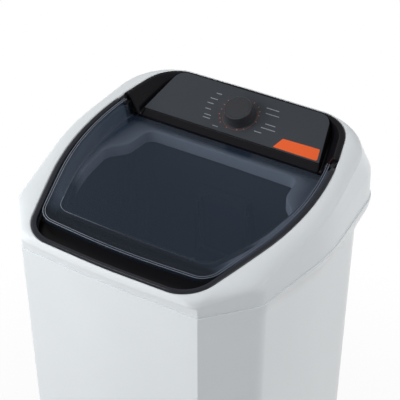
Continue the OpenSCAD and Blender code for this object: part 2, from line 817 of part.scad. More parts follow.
trough_in = whole([
    wide_loop[0], wide_loop[1], wide_loop[2],
    [fascia_front_w / 2 + 9, 120, 300],
    [fascia_rear_w / 2 + 6, fascia_rear - 12, 30],
    [0, fascia_rear - 14, 2500]
]);
out_loop = shrink(rim_loop, 40);
trough_out = whole([
    out_loop[0], out_loop[1], out_loop[2],
    [fascia_front_w / 2 + 17, 120, 300],
    [fascia_rear_w / 2 + 10, fascia_rear - 9, 34],
    [0, fascia_rear - 10, 2500]
]);
module wing_bowl() {
    skin([
        ring(trough_in, trough, -housing_wall),
        ring(trough_out, trough, -housing_wall),
        ring(under_loop, rim, -rim_ledge_d),
        ring(bar_loop, rim, -rim_ledge_d),
        ring(bar_loop, rim, -1),
        ring(shrink(bar_loop, 1.6), rim, 0.8),
        ring(shrink(rim_loop, arc_w - 2), rim, 1),
        ring(shrink(rim_loop, arc_w), rim, -0.8),
        ring(trough_out, trough),
        ring(trough_in, trough)
    ], 2);
}
module control_housing() {
    color(black)
        difference() {
            union() {
                difference() {
                    wing_bowl();
                    front_of(foot_y + 1.6);
                }
                block_skin(0, plate_under, front_wall_h);
                hinge_axis(ear_x0, ear_x1, pin_r + 3.5);
                for (side = [-1, 1])
                    translate([side * (ear_x0 + ear_x1) / 2, hinge_y + 8.5, hinge_z - 1])
                        cube([ear_x1 - ear_x0, 17, 2 * pin_r + 4], center = true);
            }
            block_skin(housing_wall, plate_under + housing_wall, front_wall_h + 20);
            hinge_axis(ear_x0 - 1, ear_x1 + 1, pin_r + pin_clear);
            on_fascia(knob_x, knob_v, 0)
                cylinder(r = timer_shaft_r + timer_clear, h = 30, center = true);
        }
}
// Three screws through the back of the cover, square to its slope
function rear_at(loop, x) = max([
    for (i = [0:len(loop) - 1])
        let (a = loop[i], b = after(loop, i))
        if (min(a.x, b.x) <= x && x < max(a.x, b.x))
            mix(a.y, b.y, (x - a.x) / (b.x - a.x))
]);
module housing_screws() {
    color(steel)
        for (side = [-1, 0, 1]) {
            x = side * (cabinet_w / 2 - cover_screw_inset);
            low = rear_at(outline(crease_loop), x);
            top = rear_at(outline(brow_loop), x);
            run = top - low;
            rise = height(rim, top) - roll_h - height(crease, low);
            translate([x, (low + top) / 2, height(crease, low) + rise / 2])
                rotate([atan2(-rise, -run), 0, 0])
                    translate([0, 0, 0.1])
                        screw_head(cover_screw_r);
        }
}
// A frame on the fascia: u sideways, v up its slope, w out of it.
module on_fascia(u, v, w) {
    translate([0, fascia_y, fascia_h])
        rotate([panel_slope, 0, 0])
            translate([u, v, w])
                children();
}
module rounded(corners, h) {
    linear_extrude(h)
        polygon(outline(corners));
}
module fascia_plate() {
    v1 = fascia_d - 1.2;
    taper = (fascia_front_w - fascia_rear_w) / 2 / fascia_d * 1.2;
    front_x = fascia_front_w / 2 - 1.2 - taper;
    rear_x = fascia_rear_w / 2 - 1.2 + taper;
    color(graphite)
        on_fascia(0, 0, -fascia_t)
            difference() {
                rounded([[-front_x, 1.2, 1], [front_x, 1.2, 1], [rear_x, v1, fascia_r - 1], [-rear_x, v1, fascia_r - 1]],
                    fascia_t);
                translate([knob_x, knob_v, -1])
                    cylinder(r = timer_shaft_r + 1, h = fascia_t + 2);
            }
}
// A slanted orange badge near the right front corner of the fascia
badge_u = 94;
badge_w = 92;
badge_h = 25;
badge_t = 0.4;
module badge_plate() {
    color(orange)
        on_fascia(badge_u, 4, 0)
            rounded([[0, 0, 1], [badge_w, 0, 3], [badge_w - 6, badge_h, 1.5], [10, badge_h - 2, 3]], badge_t);
}
timer_top = -fascia_t - housing_wall;
ear_w = 9;
module timer_case() {
    color(graphite)
        on_fascia(knob_x, knob_v, timer_top)
            difference() {
                union() {
                    translate([-timer_w / 2, -timer_w / 2, -timer_h])
                        cube([timer_w, timer_w, timer_h]);
                    translate([-timer_w / 2 - ear_w, -8, -2])
                        cube([timer_w + 2 * ear_w, 16, 2]);
                }
                translate([0, 0, -timer_h + 6])
                    cylinder(r = timer_shaft_r + timer_clear, h = timer_h);
            }
}
module timer_screws() {
    color(steel)
        for (side = [-1, 1])
            on_fascia(knob_x + side * (timer_w + ear_w) / 2, knob_v, timer_top - 2)
                rotate([180, 0, 0])
                    screw_head(2.6);
}
// Knob on the timer's shaft
knob_bore = 14;
module knob() {
    r = knob_r;
    color(black)
        on_fascia(knob_x, knob_v, knob_gap)
            difference() {
                rotate_extrude()
                    polygon([
                        [0, 0], [knob_skirt_r - 0.6, 0], [knob_skirt_r, 0.6], [knob_skirt_r, 2.6],
                        [r + 1.2, 4], [r + 0.4, 5.5], [r, knob_h - 2], [r - 0.6, knob_h - 0.6],
                        [r - 2, knob_h], [r - 3, knob_h - 0.2], [0, knob_h - 0.2]
                    ]);
                translate([0, 0, -1])
                    cylinder(r = timer_shaft_r + fit / 2, h = knob_bore + 1);
            }
}
module knob_cap() {
    color(graphite)
        on_fascia(knob_x, knob_v, knob_gap + knob_h - 0.2)
            cylinder(r1 = knob_r - 4, r2 = knob_r - 4.4, h = 0.6);
}
module timer_shaft() {
    low = timer_top - timer_h + 7;
    color(steel)
        on_fascia(knob_x, knob_v, low)
            cylinder(r = timer_shaft_r, h = knob_gap + knob_bore - 0.5 - low);
}

// Bearing housing under the tub, with its bushes, seal and bolts
tube_h = 26;
low_flange_t = 6;
fan_space = 16;
plate_z = belt_h + pulley_w / 2 + fan_space + motor_h + mount_l;
plate_top = plate_z + plate_t;
tub_under = tub_floor_h - tub_wall;
seat_r = 9.5;
module bearing_housing() {
    color(graphite)
        translate([0, tub_y, 0])
            rotate_extrude()
                polygon([
                    [bush_r + fit / 2, tub_floor_h + 2], [tube_r, tub_floor_h + 2],
                    [tube_r, tub_under], [flange_r, tub_under], [flange_r, tub_under - 5],
                    [flange_r - 18, tub_under - 5], [tube_r + 6, tub_under - 9], [tube_r + 4, plate_top + low_flange_t + 4],
                    [flange_r, plate_top + low_flange_t], [flange_r, plate_top],
                    [tube_r + 4, plate_top], [tube_r, plate_top - tube_h], [tube_r - 2, tube_low],
                    [bush_r + fit / 2, tube_low]
                ]);
}
tube_low = belt_h + pulley_w / 2 + 10;
module housing_bolts() {
    color(steel)
        for (a = [0:60:300])
            translate([0, tub_y, tub_under - 5])
                rotate([0, 0, a + 30])
                    translate([flange_r - 9, 0, 0])
                        rotate([180, 0, 0])
                            bolt_head(5);
}
module bolt_head(r) {
    cylinder(r = 1.5 * r, h = 1);
    cylinder(r = r, h = 4.5, $fn = 6);
}
module shaft_bushes() {
    color([0.70, 0.52, 0.25])
        for (z = [tube_low + 1, tub_floor_h - 8 - bush_l])
            translate([0, tub_y, z])
                difference() {
                    cylinder(r = bush_r, h = bush_l);
                    translate([0, 0, -1])
                        cylinder(r = shaft_r + shaft_clear, h = bush_l + 2);
                }
}
module shaft_seal() {
    color(rubber)
        translate([0, tub_y, tub_floor_h - 7.7])
            difference() {
                cylinder(r = bush_r, h = 8);
                translate([0, 0, -1])
                    cylinder(r = shaft_r + shaft_clear, h = 10);
            }
}

// Agitator: a disc with radial vanes round a hub
disc_t = 10;
module agitator() {
    z0 = tub_floor_h + agitator_gap;
    color([0.86, 0.88, 0.90])
        translate([0, tub_y, z0])
            difference() {
                union() {
                    rotate_extrude()
                        polygon([
                            [0, 0], [agitator_r - 3, 0], [agitator_r, 3], [agitator_r, 5], [agitator_r - 4, 7],
                            [hub_r + 12, disc_t + 6], [hub_r + 2, disc_t + 16], [hub_r - 4, vane_h],
                            [hub_r - 8, vane_h + 3], [0, vane_h + 3]
                        ]);
                    for (i = [0:vane_n - 1])
                        rotate([0, 0, 360 * i / vane_n])
                            vane();
                }
                translate([0, 0, -1])
                    cylinder(r = shaft_r + fit / 2, h = agitator_bore + 1);
                rotate_extrude()
                    polygon([[tube_r + 2, -1], [hub_r - 8, -1], [hub_r - 10, 30], [tube_r + 2, 30]]);
            }
}
agitator_bore = 46;
module vane() {
    translate([0, vane_t / 2, 0])
        rotate([90, 0, 0])
            linear_extrude(vane_t)
                polygon([
                    [hub_r - 8, 4], [agitator_r - 8, 4], [agitator_r - 8, 12], [agitator_r - 14, 20],
                    [0.62 * agitator_r, 26], [hub_r + 14, 0.62 * vane_h], [hub_r - 2, vane_h - 2], [hub_r - 8, vane_h - 2]
                ]);
}
module agitator_cap() {
    color([0.20, 0.35, 0.62])
        translate([0, tub_y, tub_floor_h + agitator_gap + vane_h + 3])
            rotate_extrude()
                polygon([[0, 0], [hub_r - 9, 0], [hub_r - 9, 2], [hub_r - 14, 7], [0, 9]]);
}
shaft_low = belt_h - pulley_w / 2 - 14;
module drive_shaft() {
    color(steel)
        translate([0, tub_y, shaft_low])
            cylinder(r = shaft_r, h = tub_floor_h + agitator_gap + agitator_bore - 1 - shaft_low);
}

// Pulleys: groove walls stand outside the belt and the groove's bottom lies under it
module pulley(r, hub, bore) {
    inner = r - belt_t;
    h = pulley_w / 2;
    b = belt_w / 2;
    rotate_extrude()
        polygon([
            [bore, -h], [hub, -h], [hub, -4], [inner - 8, -4], [inner - 6, -h], [r, -h], [r, -b - 2.2],
            [inner, -b - belt_gap], [inner, b + belt_gap], [r, b + 2.2], [r, h], [inner - 6, h], [inner - 8, 4],
            [hub, 4], [hub, h], [bore, h]
        ]);
}
module large_pulley() {
    color([0.62, 0.63, 0.65])
        translate([0, tub_y, belt_h])
            difference() {
                pulley(pulley_r, 20, shaft_r + fit / 2);
                for (a = [0:60:300])
                    rotate([0, 0, a])
                        translate([(pulley_r + 8) / 2, 0, -10])
                            cylinder(r = 16, h = 20);
            }
}
module pulley_nut() {
    h = 8;
    color(steel)
        translate([0, tub_y, belt_h - pulley_w / 2 - h])
            difference() {
                union() {
                    cylinder(r = 10, h = h, $fn = 6);
                    translate([0, 0, h - 1.5])
                        cylinder(r = 12, h = 1.5);
                }
                translate([0, 0, -1])
                    cylinder(r = shaft_r + fit / 2, h = h + 2);
            }
}
motor_y = tub_y + drive_c;
module drive_plate() {
    color(steel)
        translate([0, 0, plate_z])
            linear_extrude(plate_t)
                difference() {
                    polygon(outline([
                        [-flange_r - 12, tub_y - flange_r - 12, 20], [flange_r + 12, tub_y - flange_r - 12, 20],
                        [flange_r + 30, motor_y + 60, 20], [-flange_r - 30, motor_y + 60, 20]
                    ]));
                    translate([0, tub_y])
                        circle(r = tube_r + 4.5);
                    translate([0, motor_y])
                        circle(r = 14);
                }
}
module plate_bolts() {
    color(steel)
        for (a = [45:90:315])
            translate([0, tub_y, plate_z])
                rotate([0, 0, a])
                    translate([flange_r - 12, 0, 0])
                        rotate([180, 0, 0])
                            bolt_head(6);
}
motor_low = plate_z - mount_l - motor_h;
module motor() {
    z1 = motor_h;
    color(graphite)
        translate([0, motor_y, motor_low])
            rotate_extrude()
                polygon([
                    [motor_shaft_r + motor_clear, 0], [20, 0], [22, 8], [motor_r - 8, 10], [motor_r - 4, 14],
                    [motor_r - 4, 30], [motor_r, 31], [motor_r, z1 - 31], [motor_r - 4, z1 - 30], [motor_r - 4, z1 - 4],
                    [motor_r - 8, z1], [12, z1], [12, z1 - 8], [motor_shaft_r + motor_clear, z1 - 8]
                ]);
}
module motor_mounts() {
    color(rubber)
        for (a = [45:90:315])
            translate([0, motor_y, plate_z - mount_l])
                rotate([0, 0, a])
                    translate([motor_r - 18, 0, 0])
                        cylinder(r = 8, h = mount_l);
}
module motor_shaft() {
    color(steel)
        translate([0, motor_y, belt_h - pulley_w / 2 - 4])
            cylinder(r = motor_shaft_r, h = motor_low + motor_h - 12 - belt_h + pulley_w / 2);
}
module motor_pulley() {
    r = motor_pulley_r;
    h = pulley_w / 2;
    b = belt_w / 2;
    color(steel)
        translate([0, motor_y, belt_h])
            rotate_extrude()
                polygon([
                    [motor_shaft_r + fit / 2, -h], [r, -h], [r, -b - 2.2], [r - belt_t, -b - belt_gap],
                    [r - belt_t, b + belt_gap], [r, b + 2.2], [r, h], [motor_shaft_r + fit / 2, h]
                ]);
}
fan_blades = 9;
module motor_fan() {
    h = 7;
    color([0.80, 0.80, 0.78])
        translate([0, motor_y, belt_h + pulley_w / 2 + 4])
            difference() {
                union() {
                    cylinder(r = 14, h = h);
                    cylinder(r = motor_r - 12, h = 1.5);
                    for (i = [0:fan_blades - 1])
                        rotate([0, 0, 360 * i / fan_blades])
                            translate([10, -0.8, 0])
                                cube([motor_r - 23, 1.6, h]);
                }
                translate([0, 0, -1])
                    cylinder(r = motor_shaft_r + fit / 2, h = h + 2);
            }
}
// The belt's inner line: an arc round each pulley and the two tangents between them
function belt_points(d) =
    let (
        r1 = pulley_r - belt_t + belt_gap + d,
        r2 = motor_pulley_r - belt_t + belt_gap + d,
        lean = asin((r1 - r2) / drive_c)
    )
    concat(
        [for (a = [180 - lean:(180 + 2 * lean) / 48:360 + lean + 0.001]) [r1 * cos(a), tub_y + r1 * sin(a)]],
        [for (a = [lean:(180 - 2 * lean) / 24:180 - lean + 0.001]) [r2 * cos(a), motor_y + r2 * sin(a)]]
    );
module drive_belt() {
    color(rubber)
        translate([0, 0, belt_h - belt_w / 2])
            linear_extrude(belt_w)
                difference() {
                    polygon(belt_points(belt_t - 1));
                    polygon(belt_points(0));
                }
}
capacitor_at = [flange_r + 8, tub_y + 60];
module capacitor() {
    color([0.82, 0.83, 0.84])
        translate([capacitor_at.x, capacitor_at.y, plate_z - 2 - capacitor_l])
            cylinder(r = capacitor_r, h = capacitor_l);
}
module capacitor_clip() {
    color(steel)
        translate([capacitor_at.x, capacitor_at.y, plate_z - 2])
            union() {
                cylinder(r = capacitor_r + 2, h = 2);
                translate([0, 0, -14])
                    difference() {
                        cylinder(r = capacitor_r + 2, h = 14);
                        translate([0, 0, -1])
                            cylinder(r = capacitor_r + fit / 2, h = 16);
                    }
            }
}

// Drain: an elbow under the tub, a hose and an outlet through the rear wall
pipe_r = hose_r - hose_wall - fit / 2;
pipe_wall = 2;
bend_r = 34;
spigot_r = pipe_r + 0.52;
neck_r = spigot_r + 1.5;
rear_in = rear_reach - draft_at(outlet_h);
function draft_at(z) = draft * clamp01((cabinet_h - flare_h - z) / (cabinet_h - flare_h - foot_gap));
module drain_elbow() {
    color(graphite)
        translate([drain_x, drain_y, outlet_h + bend_r]) {
            ring_tube(tub_floor_h + 1 - outlet_h - bend_r, pipe_r);
            translate([0, 0, tub_under - outlet_h - bend_r - 3])
                ring_tube(3, pipe_r + 8);
            translate([0, bend_r, 0])
                rotate([-90, 0, 0])
                    rotate([0, 90, 0])
                        bend_tube();
            translate([0, bend_r, -bend_r])
                rotate([-90, 0, 0])
                    ring_tube(22, pipe_r);
        }
}
module ring_tube(h, r) {
    difference() {
        cylinder(r = r, h = h);
        translate([0, 0, -1])
            cylinder(r = pipe_r - pipe_wall, h = h + 2);
    }
}
module bend_tube() {
    rotate_extrude(angle = 90)
        translate([bend_r, 0])
            difference() {
                circle(r = pipe_r);
                circle(r = pipe_r - pipe_wall);
            }
}
hose_y0 = drain_y + bend_r + 4;
hose_y1 = rear_in - cabinet_wall - 6;
module drain_hose() {
    color([0.45, 0.46, 0.48])
        translate([drain_x, hose_y0, outlet_h])
            rotate([-90, 0, 0])
                difference() {
                    cylinder(r = hose_r, h = hose_y1 - hose_y0);
                    translate([0, 0, -1])
                        cylinder(r = pipe_r + fit / 2, h = hose_y1 - hose_y0 + 2);
                }
}
outlet_x = drain_x;
module drain_outlet() {
    y0 = hose_y1 - 16;
    color(graphite)
        translate([outlet_x, y0, outlet_h])
            rotate([-90, 0, 0]) {
                ring_tube(hose_y1 + 2 - y0, pipe_r);
                translate([0, 0, hose_y1 + 0.5 - y0]) {
                    ring_tube(rear_in - cabinet_wall - hose_y1 - 1.2, pipe_r + 7);
                    ring_tube(rear_in - hose_y1, neck_r);
                    ring_tube(rear_reach + 1.5 + spigot_l - hose_y1, spigot_r);
                }
            }
}
gland_x = 150;
gland_h = 130;
gland_r = 8;
module cord_gland() {
    y0 = rear_reach - draft_at(gland_h) - cabinet_wall - 6;
    color(rubber)
        translate([gland_x, y0, gland_h])
            rotate([-90, 0, 0])
                difference() {
                    union() {
                        cylinder(r = gland_r, h = rear_reach + 4 - y0);
                        cylinder(r = gland_r + 4, h = 5);
                    }
                    translate([0, 0, -1])
                        cylinder(r = gland_r - 3.5, h = 60);
                }
}

// Lint filter on the rear wall of the tub: it slides up out of two guides
guide_t = 4;
guide_gap = 0.4;
module filter_guides() {
    x = filter_w / 2 + guide_gap;
    color(graphite)
        for (side = [-1, 1])
            translate([0, tub_rear, filter_z - guide_t])
                mirror([side < 0 ? 1 : 0, 0, 0])
                    linear_extrude(filter_h - 20)
                        polygon([
                            [x - 6, 0], [x + guide_t, 0], [x + guide_t, -filter_d - guide_gap - guide_t],
                            [x - 6, -filter_d - guide_gap - guide_t], [x - 6, -filter_d - guide_gap],
                            [x, -filter_d - guide_gap], [x, -guide_t], [x - 6, -guide_t]
                        ]);
}
frame_t = 9;
module lint_filter() {
    d = filter_d - guide_t - guide_gap;
    color([0.86, 0.88, 0.90])
        translate([-filter_w / 2, tub_rear - filter_d, filter_z])
            difference() {
                cube([filter_w, d, filter_h]);
                translate([frame_t, -1, frame_t])
                    cube([filter_w - 2 * frame_t, d + 2, filter_h - 2 * frame_t - 6]);
            }
}
module filter_mesh() {
    d = filter_d - guide_t - guide_gap;
    color([0.25, 0.45, 0.70])
        translate([-filter_w / 2 + frame_t, tub_rear - filter_d + d / 2, filter_z + frame_t])
            cube([filter_w - 2 * frame_t, 1, filter_h - 2 * frame_t - 6]);
}

cabinet();
base_frame();
feet();
top_cover();
deck_frame();
wash_tub();
tub_screws();
control_housing();
housing_screws();
fascia_plate();
badge_plate();
timer_case();
timer_screws();
lid_shell();
lid_pins();
lid_bumpers();
knob();
knob_cap();
timer_shaft();
bearing_housing();
housing_bolts();
shaft_bushes();
shaft_seal();
agitator();
agitator_cap();
drive_shaft();
large_pulley();
pulley_nut();
drive_plate();
plate_bolts();
motor();
motor_mounts();
motor_shaft();
motor_pulley();
motor_fan();
drive_belt();
capacitor();
capacitor_clip();
drain_elbow();
drain_hose();
drain_outlet();
cord_gland();
filter_guides();
lint_filter();
filter_mesh();
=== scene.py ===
# %% [markdown]
# # A tub washing machine with a smoked lid
#
# The machine is a white plastic box with a flared top. A dark see-through lid lies in the top like a
# tray, and a black control panel slopes up behind it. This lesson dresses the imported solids: the big
# moulded skins are worked out again as smooth surfaces, and every other solid gets a finish.
#
# All lengths in the shape functions are millimetres, as on a drawing. One helper turns them to metres.

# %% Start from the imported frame
import math

import bpy
import numpy as np
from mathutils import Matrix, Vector


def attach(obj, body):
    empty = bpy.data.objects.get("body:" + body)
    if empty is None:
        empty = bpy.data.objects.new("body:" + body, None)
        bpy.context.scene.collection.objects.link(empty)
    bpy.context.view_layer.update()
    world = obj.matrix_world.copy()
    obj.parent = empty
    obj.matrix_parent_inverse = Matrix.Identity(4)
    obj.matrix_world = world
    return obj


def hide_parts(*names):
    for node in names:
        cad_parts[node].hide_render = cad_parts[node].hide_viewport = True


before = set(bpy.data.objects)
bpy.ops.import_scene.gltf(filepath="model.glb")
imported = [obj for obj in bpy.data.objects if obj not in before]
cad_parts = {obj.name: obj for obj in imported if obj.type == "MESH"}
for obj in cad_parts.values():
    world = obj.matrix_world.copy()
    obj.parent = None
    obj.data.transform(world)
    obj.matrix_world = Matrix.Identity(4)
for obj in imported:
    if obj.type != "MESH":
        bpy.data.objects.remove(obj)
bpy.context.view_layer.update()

# %% [markdown]
# ## Camera
#
# The picture looks down on the front right corner. A long lens keeps the uprights nearly parallel, so
# the camera stands two and a half metres away. It is placed by three numbers and turned to its target.

# %% Set the camera
MM = 0.001


def look_from(place, target, lens):
    """A camera at place, its -Z axis pointing at target and its Y axis as near up as that allows."""
    camera = bpy.data.objects.new("camera", bpy.data.cameras.new("camera"))
    camera.location = Vector(place) * MM
    camera.rotation_euler = (Vector(target) - Vector(place)).to_track_quat("-Z", "Y").to_euler()
    camera.data.lens = lens
    camera.data.sensor_width = 36.0
    bpy.context.collection.objects.link(camera)
    bpy.context.scene.camera = camera


EYE = (933.6, -1477.3, 2075.6)
TARGET = (61.0, -53.0, 887.0)
LENS = 105.02
look_from(EYE, TARGET, LENS)

# %% [markdown]
# ## Shader maths
#
# A finish is a small program. Writing it as Python expressions keeps it readable: a Wire is one output
# of a node, and adding or multiplying Wires adds the Math nodes that do the same.

# %% A wire and a board of nodes
class Wire:
    """One output of a node. Its operators add Math nodes to the same board."""

    def __init__(self, board, socket):
        self.board, self.socket = board, socket

    def math(self, operation, *values):
        return self.board.node("Math", {"operation": operation}, dict(enumerate(values)))

    def __add__(self, other):
        return self.math("ADD", self, other)

    def __radd__(self, other):
        return self.math("ADD", other, self)

    def __sub__(self, other):
        return self.math("SUBTRACT", self, other)

    def __rsub__(self, other):
        return self.math("SUBTRACT", other, self)

    def __mul__(self, other):
        return self.math("MULTIPLY", self, other)

    def __rmul__(self, other):
        return self.math("MULTIPLY", other, self)

    def ramp(self, low, high):
        """0 below low and 1 above high, with a straight run between."""
        return self.board.node("MapRange", {}, {"Value": self, "From Min": low, "From Max": high})

    def blend(self, first, second):
        """The colour first where this wire is 0 and second where it is 1."""
        return self.board.node("Mix", {"data_type": "RGBA"}, {0: self, 6: first, 7: second}, 2)


class Board:
    """The nodes of one material, or of the world."""

    def __init__(self, name, world=False):
        self.owner = (bpy.data.worlds if world else bpy.data.materials).new(name)
        self.owner.use_nodes = True
        self.tree = self.owner.node_tree
        self.tree.nodes.clear()
        self.end = "ShaderNodeOutputWorld" if world else "ShaderNodeOutputMaterial"

    def node(self, kind, settings, sockets, output=0):
        """Adds a node: its settings first, then the values and wires of its sockets."""
        node = self.tree.nodes.new("ShaderNode" + kind)
        for key, value in settings.items():
            setattr(node, key, value)
        for key, value in sockets.items():
            if isinstance(value, Wire):
                self.tree.links.new(value.socket, node.inputs[key])
            else:
                node.inputs[key].default_value = value
        return Wire(self, node.outputs[output])

    def place(self):
        """The point on the object, in the object's own coordinates."""
        return self.node("TexCoord", {}, {}, 3)

    def along(self, axis):
        """One coordinate of the point: 0 is sideways, 1 is front to rear, 2 is up."""
        return self.node("SeparateXYZ", {}, {"Vector": self.place()}, axis)

    def rays(self, *kinds):
        """For each kind of ray, a wire that is 1 for such rays and 0 for all others."""
        return [self.node("LightPath", {}, {}, f"Is {kind} Ray") for kind in kinds]

    def noise(self, size, detail=3.0):
        """Soft noise between about 0.3 and 0.7 with lumps of about `size` metres."""
        return self.node("TexNoise", {}, {"Vector": self.place(), "Scale": 1 / size, "Detail": detail})

    def bump(self, height, depth):
        return self.node("Bump", {}, {"Height": height, "Distance": depth, "Strength": 1.0})

    def surface(self, **sockets):
        """The main shader. Socket names are written with underscores."""
        named = {key.replace("_", " "): value for key, value in sockets.items()}
        return self.show(self.node("BsdfPrincipled", {}, named))

    def show(self, shader):
        """Leads a shader to the board's output and hands back the material or the world."""
        self.tree.links.new(shader.socket, self.tree.nodes.new(self.end).inputs["Surface"])
        return self.owner


def linear(red, green, blue):
    """A colour as read off a screen, 0 to 255, as the linear numbers that a shader takes."""
    screen = np.array([red, green, blue]) / 255
    light = np.where(screen <= 0.04045, screen / 12.92, ((screen + 0.055) / 1.055) ** 2.4)
    return (*light.tolist(), 1.0)


# %% [markdown]
# ## Finishes
#
# Almost everything is moulded plastic. What tells the parts apart is gloss: the cabinet is satin with a
# faint orange-peel ripple, the frames are glossy black, the panel carries a printed matt film.

# %% Moulded plastics
def moulded(name, colour, roughness, ripple=0.00002, ripple_size=0.004, coat=0.0, shift=0.03, **more):
    """Moulded plastic: a slow drift of tone, a drift of gloss and a fine ripple in its skin."""
    board = Board(name)
    drift = board.noise(0.12)
    dark = [channel * (1 - shift) for channel in colour[:3]] + [1.0]
    light = [min(1.0, channel * (1 + shift)) for channel in colour[:3]] + [1.0]
    return board.surface(
        Base_Color=drift.ramp(0.35, 0.65).blend(dark, light),
        Roughness=roughness + 0.08 * (board.noise(0.03) - 0.5),
        Normal=board.bump(board.noise(ripple_size), ripple),
        Coat_Weight=coat,
        Coat_Roughness=0.08,
        **more,
    )


WHITE = moulded("white_cabinet", linear(229, 234, 237), 0.32, coat=0.25, shift=0.008)
BLACK = moulded("piano_black", linear(18, 17, 21), 0.24, ripple=0.00001, coat=0.05, Specular_IOR_Level=0.22)
HINGE_BLACK = moulded("hinge_black", linear(24, 24, 27), 0.5)
KNOB = moulded("knob_plastic", linear(50, 51, 55), 0.36, ripple=0.00001)
BEAD = moulded("frame_gloss", linear(24, 26, 36), 0.2, ripple=0.000004, coat=0.25)
FILM = moulded("panel_film", linear(53, 58, 64), 0.42, ripple=0.000012, ripple_size=0.0006)
ORANGE = moulded("orange_film", linear(236, 98, 44), 0.35, ripple=0.000008, ripple_size=0.0008)
TUB = moulded("tub_grey", linear(58, 64, 74), 0.5)
GRAPHITE = moulded("filled_plastic", linear(58, 61, 66), 0.55, ripple=0.00006, ripple_size=0.0015)
PALE = moulded("pale_plastic", linear(214, 219, 222), 0.35)
BLUE = moulded("blue_plastic", linear(48, 66, 104), 0.3)
RUBBER = moulded("rubber", linear(28, 28, 29), 0.75, ripple=0.00008, ripple_size=0.001)
HOSE = moulded("hose_grey", linear(88, 91, 96), 0.5, ripple=0.0001, ripple_size=0.003)

# %% [markdown]
# ## Tray under the lid
#
# The tray is black, with painted shade, in the finger recess in front. It is painted pale on the slopes that
# lie under the lid: painted light that stands in for the light through the smoke. The ledge carries the same
# painted light, or it would vanish under the smoke, and painted shade in front. A ramp along the depth of the
# machine mixes two colours.

# %% Tray and ledge plastic with painted light and shade
def painted_shade_and_light(name, from_y, to_y, front, rear, last_y):
    """Glossy plastic: painted shade in front of from_y and behind last_y, painted light between. In metres.
    """
    board = Board(name)
    depth = board.along(1)
    drift = 0.01 * board.noise(0.05)
    # 0 in front of from_y and behind last_y (painted shade), 1 between (painted light)
    painted_light_mask = (depth + drift).ramp(from_y, to_y) * (1 - depth.ramp(last_y, last_y + 0.005))
    return board.surface(
        Base_Color=painted_light_mask.blend(front, rear),
        Roughness=0.26 + 0.1 * board.noise(0.03),
        Normal=board.bump(board.noise(0.004), 0.00001),
        Specular_IOR_Level=0.25,
    )


# Recess black with painted shade, and a pale slate of painted light for the slopes under the smoke
RECESS_SHADE, SLOPE_PAINTED_LIGHT = linear(13, 13, 17), linear(136, 152, 174)
TRAY = painted_shade_and_light("tray_painted_light", -0.175, -0.135, RECESS_SHADE, SLOPE_PAINTED_LIGHT, 0.119)
# Ledge: painted shade in front, painted light behind, so that it shows through the smoke
LEDGE = painted_shade_and_light("ledge_painted_light", -0.1, -0.05, linear(30, 33, 39), linear(176, 192, 216), 0.2)

# %% [markdown]
# ## Smoked lid
#
# The lid is see-through dark plastic. A sheet three millimetres thick shows what lies close under it,
# so a part-clear surface with a clean gloss reads right and renders without the noise of true glass.

# %% Smoked plastic with painted shade in front, and its painted highlight edges
PANEL_FRONT = (-0.187, -0.179)


def smoked(name, front, rear, alpha):
    """See-through plastic. In front of the lid's flat panel, where the wall slopes, it is painted darker:
    painted shade.
    """
    board = Board(name)
    depth = board.along(1)
    return board.surface(
        # Painted shade: darker in front of the flat panel, where the sloped wall turns from the light
        Base_Color=depth.ramp(*PANEL_FRONT).blend(front, rear),
        Roughness=0.12 + 0.04 * board.noise(0.03),
        Coat_Weight=0.2,
        Coat_Roughness=0.08,
        Alpha=alpha,
    )


def painted_highlight_edge(name, left, right):
    """Polished edge plastic painted pale as a painted highlight line, painted brighter on the left, where it
    faces the lamps.
    """
    board = Board(name)
    # Painted highlight: brighter on the left, darker on the right
    tint = (board.along(0) + 0.02 * board.noise(0.02)).ramp(-0.14, 0.0).blend(left, right)
    return board.surface(Base_Color=tint, Roughness=0.15 + 0.06 * board.noise(0.02), Coat_Weight=0.4)


# The darker front colour is painted shade on the lid's sloped front wall
SMOKE = smoked("smoked_plastic", linear(24, 38, 52), linear(42, 56, 74), 0.36)
LIP_HIGHLIGHT = painted_highlight_edge("lip_painted_highlight", linear(136, 142, 154), linear(108, 114, 128))
CREASE_HIGHLIGHT = painted_highlight_edge("crease_painted_highlight", linear(122, 130, 142), linear(40, 48, 60))

# %% [markdown]
# ## Metals
#
# Zinc plate has a soft grain of tiny crystals. Cast and turned parts differ in tint and roughness.

# %% Zinc, bronze and cast metal
def metal(name, colour, roughness, grain=0.002):
    """Bare metal: a fine grain moves both its tint and its roughness."""
    board = Board(name)
    speck = board.noise(grain, 5.0)
    dark = [channel * 0.8 for channel in colour[:3]] + [1.0]
    return board.surface(
        Base_Color=speck.ramp(0.3, 0.7).blend(dark, colour),
        Roughness=roughness + 0.25 * (speck - 0.5),
        Metallic=1.0,
        Normal=board.bump(speck, 0.00001),
    )


ZINC = metal("zinc_steel", linear(196, 198, 202), 0.35)
BRONZE = metal("bronze", linear(186, 140, 84), 0.4)
CAST = metal("cast_metal", linear(190, 192, 194), 0.45, 0.004)
PAINTED = moulded("motor_paint", linear(50, 53, 56), 0.4, ripple=0.00005, ripple_size=0.003)

# %% [markdown]
# ## Rounded loops
#
# Every skin of the machine runs round a loop of rounded corners: the cabinet wall, the rim, the lid's
# lip. A loop is a table with one row per corner. Its first row is the front middle, where a huge radius
# gives the slight bow of a moulded front, and only the right half is written, because the rest mirrors.

# %% Loops of rounded corners
ARC = 12  # steps round a corner
RUN = 8  # points on the side after it
BLOCK = ARC + 1 + RUN
SMALLEST = 0.5  # radius that is left when a corner shrinks away


def corner(x, y, radius):
    """One row of a loop: where its sides would meet, its radius, and a weight and a drop, filled in later."""
    return (x, y, radius, 0.0, 0.0)


def whole(half):
    """The right half of a loop from front middle to rear middle, joined to its mirror image."""
    half = np.array(half, float)
    left = half[-2:0:-1].copy()
    left[:, 0] *= -1
    return np.vstack([half, left])


